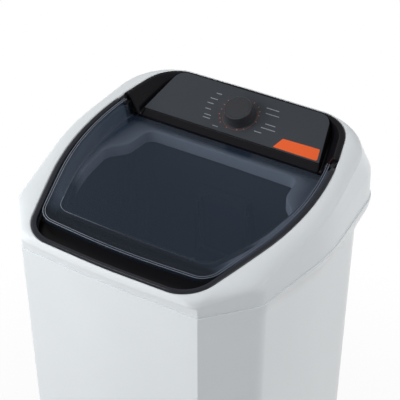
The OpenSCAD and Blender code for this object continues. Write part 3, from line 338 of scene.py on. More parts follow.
def ease(t):
    """Rises from 0 to 1 with a level start and a level end: t^2 (3 - 2t)."""
    return t * t * (3 - 2 * t)


def unit(vectors):
    """The vectors at length 1."""
    return vectors / np.linalg.norm(vectors, axis=-1, keepdims=True)


def sides(loop):
    """For every corner, the unit directions to the corner before it and to the corner after it."""
    spot = loop[:, :2]
    return unit(np.roll(spot, 1, 0) - spot), unit(np.roll(spot, -1, 0) - spot)


def shrink(loop, distance):
    """Moves every side inward by distance. An outer corner's radius drops as much, an inner one's grows."""
    back, ahead = sides(loop)
    half = np.arccos(np.sum(back * ahead, 1)) / 2
    turn = np.sign(back[:, 1] * ahead[:, 0] - back[:, 0] * ahead[:, 1])
    moved = loop.copy()
    moved[:, :2] += unit(back + ahead) * (turn * distance / np.sin(half))[:, None]
    moved[:, 2] = np.maximum(loop[:, 2] - turn * distance, SMALLEST)
    return moved


def outline(loop):
    """Points round a loop: on each corner's circle, centre + radius * (cos a, sin a) while a sweeps from
    one tangent point to the other, then evenly along the side to the next. Columns are x, y, weight, drop,
    and the last two ease from corner to corner."""
    back, ahead = sides(loop)
    half = np.arccos(np.sum(back * ahead, 1)) / 2
    radius = loop[:, 2:3]
    centre = loop[:, :2] + unit(back + ahead) * radius / np.sin(half)[:, None]
    reach = radius / np.tan(half)[:, None]
    first = loop[:, :2] + back * reach - centre
    last = loop[:, :2] + ahead * reach - centre
    start = np.arctan2(first[:, 1], first[:, 0])
    sweep = np.arctan2(last[:, 1], last[:, 0]) - start
    sweep = (sweep + np.pi) % (2 * np.pi) - np.pi
    angle = start[:, None] + sweep[:, None] * np.linspace(0, 1, ARC + 1)
    arcs = centre[:, None] + radius[:, None] * np.stack([np.cos(angle), np.sin(angle)], 2)
    arcs = np.concatenate([arcs, np.repeat(loop[:, None, 3:], ARC + 1, 1)], 2)
    s = np.linspace(0, 1, RUN + 2)[None, 1:-1, None]
    glide = np.concatenate([s, s, ease(s), ease(s)], 2)
    straight = arcs[:, -1:] * (1 - glide) + np.roll(arcs, -1, 0)[:, :1] * glide
    return np.concatenate([arcs, straight], 1).reshape(-1, 4)


# %% [markdown]
# ## Planes and rings
#
# The rim tilts up to the rear, the lid's panel tilts less, and the control panel tilts most. A plane is
# two numbers: its height over the middle of the machine, and its rise per millimetre to the rear.

# %% Planes, and rings of points on them
FILM_Y, FILM_Z = 149, 894.2  # front edge of the control panel's film
FILM_LONG = 106  # its length up the slope
FILM_TILT = 24.8  # degrees
COS, SIN = math.cos(math.radians(FILM_TILT)), math.sin(math.radians(FILM_TILT))


def tilted(height, degrees, through=0.0):
    """A plane that has this height at y = through and rises to the rear by degrees."""
    rise = math.tan(math.radians(degrees))
    return height - through * rise, rise


SEAM_Z = 816
SEAM = tilted(SEAM_Z, 0)
FOOT = tilted(24, 0)
RIM = tilted(895.4, 8.96)
CREASE = tilted(856, 4.1)
PANEL = tilted(873.6, 2.9)
DECK = tilted(862.1, 1.5)
FASCIA = tilted(FILM_Z, FILM_TILT, FILM_Y)
TROUGH = tilted(880.1, 20, 140)


def height(plane, y):
    """Height of a plane over the floor at depth y."""
    return plane[0] + plane[1] * y


def ring(loop, plane, lift=0.0, high=None):
    """A loop laid on a plane. With a high plane too, each point's weight blends from one to the other."""
    spots = outline(loop)
    z = height(plane, spots[:, 1])
    if high:
        z = z * (1 - spots[:, 2]) + height(high, spots[:, 1]) * spots[:, 2]
    return np.column_stack([spots[:, :2], z + spots[:, 3] + lift])


def weighted(loop, weight):
    """The same loop with one weight for all its corners."""
    changed = loop.copy()
    changed[:, 3] = weight
    return changed


def soften(rings, radius, steps=4, closed=False):
    """Rounds a profile. Each ring P between rings A and B gives way to the curve
    (1-t)^2 (P toward A) + 2t(1-t) P + t^2 (P toward B), which starts and ends `radius` away from P."""
    count = len(rings)
    radius = np.broadcast_to(np.asarray(radius, float), count)
    made = []
    for i, spot in enumerate(rings):
        if radius[i] == 0 or not closed and i in (0, count - 1):
            made.append(spot)
            continue
        to_a, to_b = rings[i - 1] - spot, rings[(i + 1) % count] - spot
        long_a = np.linalg.norm(to_a, axis=1, keepdims=True)
        long_b = np.linalg.norm(to_b, axis=1, keepdims=True)
        cut = np.minimum(radius[i], 0.45 * np.minimum(long_a, long_b))
        near_a, near_b = spot + to_a * cut / long_a, spot + to_b * cut / long_b
        for t in np.linspace(0, 1, steps + 1):
            made.append((1 - t) ** 2 * near_a + 2 * t * (1 - t) * spot + t * t * near_b)
    return made


# %% [markdown]
# ## From rings to a mesh
#
# Rings with as many points each make a grid, and a grid makes a skin of four-sided faces. Most skins run
# right round. Those that stop at the line between lid and panel are strips, and their ends are closed.

# %% Build a mesh piece from rings
def quads(rows, columns, wrap_rows, wrap_columns):
    """Faces (a, b, c, d) of a grid: a and b neighbours in one row, d and c the same two in the next."""
    r = np.arange(rows if wrap_rows else rows - 1)[:, None]
    k = np.arange(columns if wrap_columns else columns - 1)[None]
    r2, k2 = (r + 1) % rows, (k + 1) % columns
    faces = np.stack([r * columns + k, r * columns + k2, r2 * columns + k2, r2 * columns + k], 2)
    return faces.reshape(-1, 4)


def piece(name, points, faces, flat, body, finish, replaced=()):
    """Makes the mesh: smooth faces first, flat ones after them. Points are in millimetres."""
    mesh = bpy.data.meshes.new(name)
    rows = [list(map(int, face)) for face in [*faces, *flat]]
    mesh.from_pydata((np.asarray(points) * MM).tolist(), [], rows)
    smooth = np.zeros(len(mesh.polygons), bool)
    smooth[: len(faces)] = True
    mesh.polygons.foreach_set("use_smooth", smooth)
    mesh.materials.append(finish)
    made = bpy.data.objects.new(name, mesh)
    bpy.context.collection.objects.link(made)
    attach(made, body)
    for node in replaced:
        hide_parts(node)
    print(name, len(mesh.polygons), "faces")
    return made


def skin(name, rings, body, finish, replaced=(), wall=False):
    """Rings that run right round. A wall closes on itself; anything else is capped at both ends."""
    rings = np.array(rings)
    rows, columns = rings.shape[:2]
    faces = quads(rows, columns, wall, True)
    low = np.arange(columns)
    caps = [] if wall else [low[::-1], low + (rows - 1) * columns]
    return piece(name, rings.reshape(-1, 3), faces, caps, body, finish, replaced)


def strip(name, rings, body, finish, replaced=(), wall=False):
    """Rings that stop at a line. A wall has its two ends closed; a tray also has its flats and its edge."""
    rings = np.array(rings)
    rows, columns = rings.shape[:2]
    faces = quads(rows, columns, wall, False)
    left = np.arange(rows) * columns
    flat = [left, (left + columns - 1)[::-1]]
    if not wall:
        low = np.arange(columns)
        high = low + (rows - 1) * columns
        flat += [low[::-1], high, [low[-1], low[0], high[0], high[-1]]]
    return piece(name, rings.reshape(-1, 3), faces, flat, body, finish, replaced)


# %% [markdown]
# ## Cabinet
#
# The cabinet is one deep moulding, open at the bottom. Its front is nearly flat with a sharp upright edge
# at each side, then a slanted face leads to the curved flank. Near the top the flanks flare out.

# %% Cabinet wall from the base to the seam
FRONT = [corner(0, -262, 2500), corner(181, -257, 2), corner(256, -174, 50)]
WALL = whole(FRONT + [corner(258, 37, 2500), corner(257, 251, 80), corner(0, 253, 2500)])
MOUTH = whole(FRONT + [corner(290, 15, 380), corner(274, 260, 75), corner(0, 262, 2500)])
FLARE_TALL = 82  # height of the flare at the widest point
FLARE_SHORT = 0.3  # share of that in front
FRONT_EDGE, WIDEST = -174, 37  # depths between which it grows


def flare_ring(s, inward):
    """The wall s of the way up its flare. The flare is short in front and tall at the widest point."""
    t = ease(s)
    spots = outline(shrink(WALL * (1 - t) + MOUTH * t, inward))
    where = np.clip((spots[:, 1] - FRONT_EDGE) / (WIDEST - FRONT_EDGE), 0, 1)
    tall = FLARE_TALL * (FLARE_SHORT + (1 - FLARE_SHORT) * ease(where))
    return np.column_stack([spots[:, :2], SEAM_Z - inward - (1 - s) * tall])


FLARE_STEPS = np.linspace(0, 1, 13)
THICK = 3
DRAFT = 4  # how far the wall draws in at its foot
LEDGE_IN = shrink(WALL, 15)
outside = [ring(shrink(WALL, DRAFT), FOOT)] + [flare_ring(s, 0) for s in FLARE_STEPS]
inside = [flare_ring(s, THICK) for s in FLARE_STEPS[::-1]] + [ring(shrink(WALL, DRAFT + THICK), FOOT)]
rings = outside + [ring(LEDGE_IN, SEAM), ring(LEDGE_IN, SEAM, -THICK)] + inside
rounds = np.zeros(len(rings))
rounds[[0, -1]] = 1.2
rounds[len(outside) - 1] = 0.7
rings = soften(rings, rounds, 3, True)
skin("cabinet_wall", rings, "cabinet", WHITE, ["cabinet"], wall=True)

# %% [markdown]
# ## Top cover
#
# The cover sits on the cabinet with a small step at the seam, bulges to a crease, leans in and rolls over
# into the rim. The roll is what catches the light all round the black frame. It blends two loops: the brow,
# where the cover starts to turn over, and the rim. Inside, the cover comes down again as a thin wall.

# %% Top cover with its rolled rim
RIM_CORNER = np.array([170, -259])
RIM_SIDE = np.array([267, 23])


def between(start, end, share, out=0.0):
    """A point on the line from start to end, pushed sideways by out, so that the long side bows a little."""
    return start * (1 - share) + end * share + (out, 0)


RIM_LOOP = whole([
    corner(0, -264, 1500), corner(*RIM_CORNER, 70),
    corner(*between(RIM_CORNER, RIM_SIDE, 0.31, 1), 300), corner(*RIM_SIDE, 468),
    corner(202, 253, 75), corner(0, 255, 2500),
])
CREASE_LOOP = whole([
    corner(0, -262, 2500), corner(181, -257, 8), corner(254, -174, 55),
    corner(283.6, 20, 400), corner(270.8, 258, 75), corner(0, 260, 2500),
])
BROW = whole([
    corner(0, -271, 2000), corner(179, -262, 38), corner(250, -179, 65),
    corner(282, 20, 400), corner(253, 255, 100), corner(0, 257, 2500),
])
BROW_LOW = 15  # how far the brow lies under the rim
SHELF = -16  # the rim's inner wall ends here, on a shelf
SHELF_IN = shrink(RIM_LOOP, 7)
STEP_IN = 2.4  # how far the cover stands in at the seam
profile = [(ring(shrink(MOUTH, STEP_IN), SEAM), 0.5), (ring(CREASE_LOOP, CREASE), 5)]
for a in np.radians(np.linspace(0, 84, 11)[:-1]):
    t = 1 - math.cos(a)
    turned = ring(BROW * (1 - t) + RIM_LOOP * t, RIM, -BROW_LOW * (1 - math.sin(a)))
    profile.append((turned, 6 if a == 0 else 0))
profile += [
    (ring(shrink(RIM_LOOP, -2.6), RIM), 1.2), (ring(RIM_LOOP, RIM, -1.3), 0),
    (ring(RIM_LOOP, RIM, SHELF), 0), (ring(SHELF_IN, RIM, SHELF), 0), (ring(SHELF_IN, RIM, SHELF - THICK), 0),
    (ring(shrink(CREASE_LOOP, THICK), CREASE, -THICK), 0), (ring(shrink(MOUTH, STEP_IN + THICK), SEAM), 0.5),
]
rings, rounds = zip(*profile)
rings = soften(rings, rounds, 4, True)
skin("cover_shell", rings, "cabinet", WHITE, ["top_cover"], wall=True)

# %% [markdown]
# ## The line between lid and panel
#
# The lid and the deck stop at a line that runs straight across behind the wash opening. On the lid it
# steps forward over each raised side, to leave room for the hinge. A ring is cut there by walking along it
# until it crosses the line. The points of the last stretch are then spread evenly up to the crossing, so
# that every ring keeps as many points.

# %% Cut rings at the line
LIP_SIDE = shrink(RIM_LOOP, 11)[3, :2]
PANEL_SIDE = np.array([LIP_SIDE[0] - 29, 15])
PART_X = PANEL_SIDE[0] - 18  # where the step of the line begins
PART_RUN = 6  # and how long it is
TAIL = 26  # points on the last stretch of a cut ring


def part_line(x, side, mid):
    """Depth of the line at x: mid in the middle, side over the raised sides, a short slant between."""
    return mid + (side - mid) * np.clip((np.abs(x) - PART_X) / PART_RUN, 0, 1)


def cut(rings, side, mid, rear=False):
    """Keeps what lies in front of the line, or behind it. Only the right half is walked, then mirrored."""
    made = []
    for spots in rings:
        half = spots[ARC // 2 : 5 * BLOCK + ARC // 2 + 1]
        past = half[:, 1] - part_line(half[:, 0], side, mid)
        stop = int(np.argmax(past >= 0))
        crossing = stop - past[stop] / (past[stop] - past[stop - 1])
        if rear:
            solid = 4 * BLOCK - ARC // 2
            steps = np.concatenate([np.linspace(crossing, solid, TAIL), np.arange(solid + 1, len(half))])
        else:
            solid = 3 * BLOCK - ARC // 2
            steps = np.concatenate([np.arange(solid), np.linspace(solid, crossing, TAIL)])
        index = np.arange(len(half))
        right = np.column_stack([np.interp(steps, index, half[:, axis]) for axis in range(3)])
        left = right[::-1] * (-1, 1, 1)
        made.append(np.vstack([right, left[1:]]) if rear else np.vstack([left, right[1:]]))
    return made


# %% [markdown]
# ## Deck
#
# The deck is the black frame round the wash opening. A glossy bead runs along the white rim. Inside it lies
# a gutter, which drops into a finger recess in front, and a slope leads to the flat ledge under the lid.
# Bead, tray and ledge are three skins, because each stops at a line of its own.

# %% Loops of the deck
LIP_CORNER = np.array([174, -214])
LIP_LOOP = whole([
    corner(0, -224, 1500), corner(*LIP_CORNER, 42),
    corner(*between(LIP_CORNER, LIP_SIDE, 0.3, -0.5), 300), corner(LIP_SIDE[0] - 4, LIP_SIDE[1], 450),
    corner(LIP_SIDE[0] - 42, LIP_SIDE[1] + 146, 6), corner(0, LIP_SIDE[1] + 147, 2500),
])
PANEL_CORNER = np.array([157, -180])
PANEL_LOOP = whole([
    corner(0, -183, 1500), corner(*PANEL_CORNER, 30),
    corner(*between(PANEL_CORNER, PANEL_SIDE, 0.35, 1), 300), corner(*PANEL_SIDE, 520),
    corner(PANEL_SIDE[0] - 19, 147, 3), corner(0, 148, 2500),
])
GUTTER_SIDE = shrink(LIP_LOOP, 5.8)
GUTTER_IN = whole([
    corner(0, -200, 1500), corner(158, -192, 34), corner(*GUTTER_SIDE[2, :2], 120), *GUTTER_SIDE[3:6],
])
BAR = shrink(RIM_LOOP, 0.5)
BEAD_IN = shrink(RIM_LOOP, 9.5)
BEAD_HIGH = 1.6
BEAD_END, DECK_END = 120.8, 139.5  # depths at which bead and tray stop
RECESS_Y, RECESS_X = -166, 182
RECESS_DEEP, GUTTER_DEEP = 21, 9


def gutter(loop, lift=0.0):
    """The loop laid below the rim: deep in the finger recess in front and shallow elsewhere."""
    low = weighted(loop, 1)
    front = (low[:, 1] < RECESS_Y) & (np.abs(low[:, 0]) < RECESS_X)
    low[:, 4] = np.where(front, -RECESS_DEEP, -GUTTER_DEEP)
    return ring(low, DECK, lift, RIM)


def rim_ring(inward, lift):
    """A ring on the rim's plane, moved inward from the rim."""
    return ring(shrink(RIM_LOOP, inward), RIM, lift)


def deck_strip(name, rings, rounds, steps, end, finish):
    """A black strip of the deck, closed all round and cut off at one depth."""
    rings = cut(soften(rings, rounds, steps, True), end, end)
    strip(name, rings, "cabinet", finish, ["deck_frame"], wall=True)


# %% Bead, tray and hinge shelf
bead = [rim_ring(10.5, SHELF), ring(BAR, RIM, SHELF), ring(BAR, RIM, BEAD_HIGH)]
bead += [ring(BEAD_IN, RIM, BEAD_HIGH), gutter(shrink(RIM_LOOP, 10.4), -1)]
deck_strip("deck_bead", bead, [0, 0, 3.4, 3.4, 0], 7, BEAD_END, BEAD)
shelf = [rim_ring(12.4, SHELF), rim_ring(0.8, SHELF), rim_ring(0.8, -12.8), rim_ring(12.4, -12.8)]
deck_strip("hinge_shelf", shelf, 0, 1, DECK_END, BLACK)
FLAT = shrink(PANEL_LOOP, -2)
tray = [ring(FLAT, DECK, -THICK), gutter(GUTTER_IN, -THICK), gutter(shrink(RIM_LOOP, 11.9), -THICK)]
tray += [gutter(shrink(RIM_LOOP, 10.3)), gutter(GUTTER_IN), ring(FLAT, DECK)]
deck_strip("deck_tray", tray, [0, 2, 1, 1, 5, 0], 5, DECK_END, TRAY)

# %% [markdown]
# ## Ledge and collar
#
# The ledge is a flat plate with the wash opening in it, wide in front and drawn in by an S-curve on each
# side. Seen from the middle, both edges of the plate pass every direction once, so plate and collar are
# worked out by direction: at each angle, how far away is the inner edge and how far the outer one.

# %% Ledge with the collar of the wash opening
OPEN_LOOP = whole([
    corner(0, -169, 2500), corner(PANEL_CORNER[0] - 7, -167, 40), corner(PANEL_SIDE[0] - 32, -60, 300),
    corner(PANEL_SIDE[0] - 25, 30, 28), corner(170, 62, 34), corner(163, 123, 20), corner(0, 125, 2500),
])
CENTRE = np.array([0, -20])
COLLAR_LOW = -24  # the collar hangs this far under the ledge


def reach(loop, angle):
    """How far a closed loop lies from CENTRE in each direction: its distance, read off between its points."""
    away = loop[:, :2] - CENTRE
    turn = np.arctan2(away[:, 1], away[:, 0])
    order = np.argsort(turn)
    return np.interp(angle, turn[order], np.hypot(*away.T)[order], period=2 * np.pi)


def around(loop, angle, lift):
    """Points in the direction of each angle, as far out as the loop, laid on the ledge's plane."""
    spots = CENTRE + reach(loop, angle)[:, None] * np.column_stack([np.cos(angle), np.sin(angle)])
    return np.column_stack([spots, height(DECK, spots[:, 1]) + lift])


flat_edge = cut([ring(FLAT, DECK)], DECK_END, DECK_END)[0]
rear_edge = np.linspace(flat_edge[-1], flat_edge[0], 40)[1:-1]
flat_edge = np.vstack([flat_edge, rear_edge])
away = flat_edge[:, :2] - CENTRE
angle = np.concatenate([np.arctan2(away[:, 1], away[:, 0]), np.linspace(-np.pi, np.pi, 361)[:-1]])
angle = np.unique(np.round(angle, 5))
opening, collar = outline(OPEN_LOOP), outline(shrink(OPEN_LOOP, -THICK))
profile = [(opening, COLLAR_LOW), (collar, COLLAR_LOW), (collar, -THICK), (flat_edge, -THICK)]
profile += [(flat_edge, 0), (opening, 0)]
rings = soften([around(loop, angle, lift) for loop, lift in profile], [0.8, 0.8, 0, 0, 0, 2.5], 4, True)
skin("wash_ledge", rings, "cabinet", LEDGE, ["deck_frame"], wall=True)

# %% [markdown]
# ## Lid
#
# The lid is a shallow tray of see-through dark plastic. Its flat lip stands up to the rim, its sides slope
# down to the panel, and pale ridges paint thin highlight lines along the lip and the crease round the panel.

# %% Lid shell
def lid_ring(loop, weight, lift):
    """A ring of the lid: weight 0 lies on the panel's plane, weight 1 on the rim's."""
    return ring(weighted(loop, weight), PANEL, lift, RIM)


middle, near = shrink(PANEL_LOOP, 4), shrink(PANEL_LOOP, -2.5)
top_lip, low_lip, inner_lip = shrink(LIP_LOOP, 4.4), shrink(LIP_LOOP, 2.7), shrink(LIP_LOOP, 6)
profile = [  # loop, weight, lift over the plane, round
    (middle, 0, -3, 0), (near, 0.05, -3, 0), (inner_lip, 1, -4.4, 1), (low_lip, 1, -3.6, 0),
    (low_lip, 1, -6.5, 0.4), (LIP_LOOP, 1, -6.5, 0.6), (LIP_LOOP, 1, 0, 1.4), (top_lip, 1, 0, 0.7),
    (inner_lip, 1, -1.4, 1.2), (near, 0.05, 0, 2.4), (middle, 0, 0, 0),
]
lid = soften([lid_ring(*row[:3]) for row in profile], [row[3] for row in profile], 4)
strip("lid_tray", cut(lid, 129.2, 134.5), "lid", SMOKE, ["lid_shell"])

# %% Painted highlight lines on the lid's edges
SUNK = -0.4  # a ridge starts this far inside the lid


def ridge(name, loop, weight, from_in, to_in, high, finish):
    """A slim ridge on the lid between two distances inward of a loop, standing high above the skin."""
    outside, inside = shrink(loop, from_in), shrink(loop, to_in)
    rings = [lid_ring(outside, weight, SUNK), lid_ring(outside, weight, high)]
    rings += [lid_ring(inside, weight, high), lid_ring(inside, weight, SUNK)]
    rings = cut(soften(rings, [0, 0.4, 0.4, 0], 3, True), 128.6, 134)
    strip(name, rings, "lid", finish, ["lid_shell"], wall=True)


# Slim ridges in a pale finish: painted highlights along the lip and the panel's crease
ridge("lip_outer_edge", LIP_LOOP, 1, 0.5, 1.7, 0.25, LIP_HIGHLIGHT)
ridge("lip_inner_edge", LIP_LOOP, 1, 4.6, 5.6, 0.25, LIP_HIGHLIGHT)
ridge("panel_crease_edge", PANEL_LOOP, 0, 0.2, 1.3, 0.15, CREASE_HIGHLIGHT)

# %% [markdown]
# ## Hinge
#
# A pin on each side joins a boss of the lid to an ear of the panel. Boss and ear have the same outline: a
# circle round the pin and a bar that leads off to what carries it.

# %% Hinge bosses and ears
HINGE_Y = 127.5
HINGE = np.array([HINGE_Y, height(RIM, HINGE_Y) - 5])
LIP_X = 223.2  # half the width of the lid at its hinge


def eye(radius, run, low, high, side):
    """Outline in (y, z): three quarters of a circle round the pin, then a bar of length run to the side."""
    turn = np.radians(np.linspace(65, 295, 25))
    arc = np.column_stack([side * np.cos(turn) * radius, np.sin(turn) * radius])
    bar = np.array([[side * run, low], [side * run, high]])
    return HINGE + np.vstack([arc, bar])


def hinge_part(name, shape, x0, x1, body, replaced, bevel=0.5):
    """The shape, in (y, z), carried from x0 to x1 on both sides. Its end faces are a little smaller."""
    middle = shape.mean(0)
    small = middle + (shape - middle) * 0.93
    stations = [(small, x0), (shape, x0 + bevel), (shape, x1 - bevel), (small, x1)]
    for side, word in ((1, "right"), (-1, "left")):
        rings = [np.column_stack([np.full(len(spots), side * x), spots]) for spots, x in stations]
        if side > 0:
            rings = [row[::-1] for row in rings]
        skin(name + "_" + word, rings, body, HINGE_BLACK, replaced)


BOSS, EAR = eye(4, 8, -4, 2, -1), eye(5.5, 17, -5, 5, 1)
hinge_part("lid_boss", BOSS, LIP_X - 7, LIP_X - 0.6, "lid", ["lid_shell"])
hinge_part("panel_ear", EAR, LIP_X + 1.9, LIP_X + 9.4, "cabinet", ["control_housing"])

# %% [markdown]
# ## Control panel
#
# A black block carries the sloping film of the panel. Its flanks fall into a trough on each side, and the
# troughs rise to the rounded arc that finishes the rim behind.

# %% Block under the panel
def on_panel(u, v, w=0.0):
    """A point on the sloping panel: u sideways, v up the slope, w out of it."""
    u, v, w = np.broadcast_arrays(u, v, w)
    return np.stack([u, FILM_Y + v * COS - w * SIN, FILM_Z + v * SIN + w * COS], -1)


def block(front, out_front, out_rear, inward):
    """The block's outline on the plan, wider where it is lower."""
    rear = FILM_Y + FILM_LONG * COS
    half = [(192.5 + out_front, front, 5), (167.5 + out_rear, rear - 0.35 * out_rear, 26)]
    right = np.array([corner(*row) for row in half])
    left = right[::-1] * (-1, 1, 1, 1, 1)
    return shrink(np.vstack([left[1:], right, left[:1]]), inward)


def run_out(y):
    """How far a flank spreads on its way down: half of its height at depth y."""
    return 0.5 * (height(FASCIA, y) - height(TROUGH, y))


KNOB_U, KNOB_V = 1, 47.5  # where the knob's axis meets the panel


def on_dial(radius, turn, w=0.0):
    """A point on the sloping panel at this distance and turn round the knob's axis."""
    return on_panel(KNOB_U + radius * np.cos(turn), KNOB_V + radius * np.sin(turn), w)


BLOCK_Y = 140  # front of the block's foot
WIDE = (BLOCK_Y, run_out(BLOCK_Y), run_out(245.2))
FILM_UNDER = 1.52  # the block's top lies this far under the top of the film
UNDER_FILM = -FILM_UNDER / COS


def shell(inward, top):
    """One side of the block's wall: from below the trough, up the flank to a shoulder and in to the top."""
    foot, crown = block(*WIDE, inward), block(FILM_Y, 0, 0, inward)
    shoulder = block(BLOCK_Y, 3.25, 3.25, inward)
    rings = [ring(foot, TROUGH, -22), ring(foot, TROUGH, -1.5)]
    return rings + [ring(shoulder, FASCIA, -6.5 + top), ring(crown, FASCIA, top)]


outside, inside = shell(0, UNDER_FILM), shell(THICK, UNDER_FILM - THICK)
away = outside[-1] - on_panel(KNOB_U, KNOB_V)
turn = np.arctan2(away[:, 1] / COS, away[:, 0])
shaft_hole = [on_dial(4, turn, w) for w in (-FILM_UNDER, -4.5)]
rings = soften(outside + shaft_hole + inside[::-1], [0, 0, 3, 0.8] + [0] * 6, 4, True)
skin("panel_block", rings, "cabinet", BLACK, ["control_housing"], wall=True)

# %% Troughs and the arc behind them
WIDE_LOOP, ARC_LOOP = shrink(RIM_LOOP, 45), shrink(RIM_LOOP, 40)
TROUGH_IN = whole([*WIDE_LOOP[:3], corner(201.5, 120, 300), corner(173.5, 233.2, 30), corner(0, 231.2, 2500)])
TROUGH_OUT = whole([*ARC_LOOP[:3], corner(209.5, 120, 300), corner(177.5, 236.2, 34), corner(0, 235.2, 2500)])
PANEL_START = 141.6
wings = [ring(TROUGH_IN, TROUGH, -THICK), ring(TROUGH_OUT, TROUGH, -THICK), rim_ring(8.4, SHELF)]
wings += [ring(BAR, RIM, SHELF), ring(BAR, RIM, BEAD_HIGH), rim_ring(10.5, BEAD_HIGH)]
wings += [ring(TROUGH_OUT, TROUGH), ring(TROUGH_IN, TROUGH)]
wings = cut(soften(wings, [0, 0, 0, 0, 4, 3.2, 9, 0], 7), PANEL_START, PANEL_START, True)
strip("panel_wings", wings, "cabinet", BLACK, ["control_housing"])

# %% [markdown]
# ## Knob
#
# The knob is turned: a skirt, a nearly straight side and a shallow top. A profile of radius and height is
# spun round the knob's axis, which stands square on the panel.

# %% Knob
KNOB_STEPS = 96
profile = [  # radius, height over the panel, round
    (3, 15, 0), (3, 1, 0), (29, 1, 0.7), (29, 3.2, 0.7), (28.2, 5, 0.8), (27, 24.8, 2.4), (22.9, 24.8, 0),
]
turn = np.linspace(0, 2 * np.pi, KNOB_STEPS, endpoint=False)
rings = soften([on_dial(row[0], turn, row[1]) for row in profile], [row[2] for row in profile], 6)
skin("dial_knob", rings, "knob", KNOB, ["knob"])

# %% [markdown]
# ## Marks on the film
#
# The film carries small printed marks round the knob. They are thin plates of ink, a tenth of a
# millimetre high, because a plate stays sharp at any distance and needs no image.

# %% Printed marks
INK_LOW, INK_HIGH = -0.05, 0.12


def plates(name, rows, finish):
    """Boxes lying on the panel. Each row gives the middle u, v, the length, the width and the turn."""
    rows = np.array(rows, float)
    shape = np.array([(-1, -1), (1, -1), (1, 1), (-1, 1)]) / 2
    flat = rows[:, None, 2:4] * shape
    turn = np.radians(rows[:, 4])[:, None]
    u = rows[:, :1] + flat[..., 0] * np.cos(turn) - flat[..., 1] * np.sin(turn)
    v = rows[:, 1:2] + flat[..., 0] * np.sin(turn) + flat[..., 1] * np.cos(turn)
    points = np.stack([on_panel(u, v, w) for w in (INK_LOW, INK_HIGH)], 1).reshape(-1, 3)
    box = np.array([(0, 3, 2, 1), (4, 5, 6, 7), (0, 1, 5, 4), (1, 2, 6, 5), (2, 3, 7, 6), (3, 0, 4, 7)])
    faces = (box + 8 * np.arange(len(rows))[:, None, None]).reshape(-1, 4)
    piece(name, points, [], faces, "cabinet", finish)


def around_dial(spots, long, wide, turned=0):
    """Rows for plates round the knob. Each spot is a direction in degrees and a distance from the axis."""
    rows = []
    for degrees, radius in spots:
        a = math.radians(degrees)
        u, v = KNOB_U + radius * math.cos(a), KNOB_V + radius * math.sin(a)
        rows.append((u, v, long, wide, degrees + turned))
    return rows


INK = moulded("pale_ink", linear(138, 143, 151), 0.5)
WARM_INK = moulded("warm_ink", linear(190, 104, 72), 0.5)
RING_INK = moulded("ring_ink", linear(112, 72, 62), 0.5)
TICKS = [
    (148, 46), (163, 43.5), (178, 42), (194, 42), (208, 40), (222, 40), (250, 36),
    (286, 33), (309, 34), (355, 36), (19, 36), (33, 38), (50, 39), (71, 38),
]
RING_DOTS = [(degrees, 34.5) for degrees in np.degrees(np.linspace(2.7, 6.9, 88))]
DASHES = [  # middle u, v and length
    (-63, 80, 12), (-67, 66, 16), (-69, 54.5, 14.4), (-67, 41, 12), (-61, 28, 14.4), (-60, 21, 16),
    (-34, 9, 12), (55, 81, 27.2), (60, 69, 28.8), (67, 46.5, 21.6), (67, 36.5, 30.4), (51, 24.5, 15.2),
]
plates("dial_ticks", around_dial(TICKS, 2.8, 1.4), WARM_INK)
plates("dial_ring", around_dial(RING_DOTS, 1.8, 0.9, 90), RING_INK)
plates("dial_dashes", [(*row, 1.7, 0) for row in DASHES], INK)

# %% [markdown]
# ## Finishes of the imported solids
#
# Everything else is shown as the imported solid. Each takes its finish by name.

# %% Dress the other solids
DRESS = {
    GRAPHITE: "lid_pins lid_bumpers base_frame timer_case bearing_housing drain_elbow drain_outlet "
    "filter_guides agitator_cap",
    RUBBER: "feet shaft_seal motor_mounts drive_belt cord_gland",
    KNOB: "knob_cap",
    TUB: "wash_tub agitator lint_filter",
    FILM: "fascia_plate",
    ORANGE: "badge_plate",
    PALE: "motor_fan",
    BLUE: "filter_mesh",
    CAST: "large_pulley motor_pulley capacitor",
    BRONZE: "shaft_bushes",
    PAINTED: "motor",
    HOSE: "drain_hose",
}
named = {node: finish for finish, nodes in DRESS.items() for node in nodes.split()}
for node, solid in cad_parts.items():
    solid.data.materials.clear()
    solid.data.materials.append(named.get(node, ZINC))
print("dressed", len(named), "nodes, the rest in zinc")

# %% [markdown]
# ## Floor, backdrop and light
#
# The machine stands on a pale floor in soft studio light. Near the machine the floor shows its shadow; far
# away, the camera sees it as plain white.

# %% Floor
FLOOR_SIZE = 40
PURE_WHITE = (1, 1, 1, 1)
SHADOW_SHARE = 0.05  # how much of the floor's own shading shows near the machine

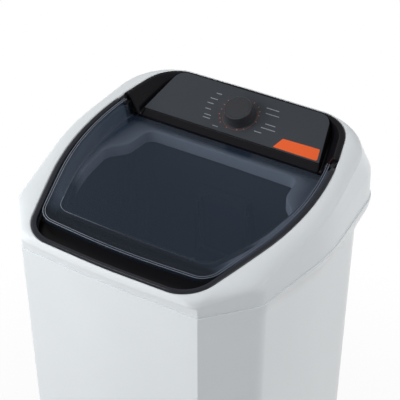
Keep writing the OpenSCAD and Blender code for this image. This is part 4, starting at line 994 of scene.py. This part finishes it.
board = Board("studio_floor")
away = board.node("VectorMath", {"operation": "LENGTH"}, {0: board.place()}, 1)
seen, glossy, through = board.rays("Camera", "Glossy", "Transmission")
plain = board.node("BsdfDiffuse", {}, {"Color": (0.42, 0.42, 0.42, 1)})
bright = board.node("Emission", {}, {"Color": PURE_WHITE, "Strength": 1.0})
mask = (1 - SHADOW_SHARE + SHADOW_SHARE * away.ramp(0.5, 1.0)) * (seen + glossy + through).ramp(0, 1)
mesh = bpy.data.meshes.new("studio_floor")
corners = [(x * FLOOR_SIZE, y * FLOOR_SIZE, 0) for x, y in ((-1, -1), (1, -1), (1, 1), (-1, 1))]
mesh.from_pydata(corners, [], [(0, 1, 2, 3)])
mesh.materials.append(board.show(board.node("MixShader", {}, {0: mask, 1: plain, 2: bright})))
floor = bpy.data.objects.new("studio_floor", mesh)
bpy.context.collection.objects.link(floor)

# %% [markdown]
# Four big soft lights and a small one stand round the machine. Only the low one on the right and the small
# one above mirror in the gloss. The world adds a little light from everywhere. The camera sees it as white,
# and mirrored in the gloss it is a fifth of the way from that dim light to white.

# %% Lights
LAMP_AIM = Vector((0, 0, 0.7))
LAMP_AWAY = 3.2


def softbox(name, azimuth, elevation, size, watts, mirrored=False):
    """A square area light, azimuth degrees to the right of the front, aimed at the middle of the machine."""
    turn, up = math.radians(azimuth), math.radians(elevation)
    place = Vector((math.sin(turn) * math.cos(up), -math.cos(turn) * math.cos(up), math.sin(up)))
    lamp = bpy.data.lights.new(name, "AREA")
    lamp.shape, lamp.size, lamp.energy = "SQUARE", size, watts
    made = bpy.data.objects.new(name, lamp)
    made.location = LAMP_AIM + place * LAMP_AWAY
    made.rotation_euler = (-place).to_track_quat("-Z", "Y").to_euler()
    made.visible_glossy = mirrored
    bpy.context.collection.objects.link(made)


LIGHTS = {
    "left_front_box": (-60, 25, 1.6, 68),
    "front_box": (-10, 20, 1.6, 37),
    "right_rear_box": (130, 35, 2.0, 40),
    "right_low_box": (95, 5, 1.4, 15, True),
    "top_strip": (-60, 61, 0.7, 5, True),
}
for name, values in LIGHTS.items():
    softbox(name, *values)

# %% World
WORLD_LIGHT = 0.2
GLOSS_SHARE = 0.2

board = Board("studio", world=True)
glossy, seen = board.rays("Glossy", "Camera")
dim = board.node("Background", {}, {"Color": PURE_WHITE, "Strength": WORLD_LIGHT})
white = board.node("Background", {}, {"Color": PURE_WHITE, "Strength": 1.0})
share = seen + GLOSS_SHARE * glossy
bpy.context.scene.world = board.show(board.node("MixShader", {}, {0: share, 1: dim, 2: white}))
bpy.context.scene.view_settings.view_transform = "Standard"
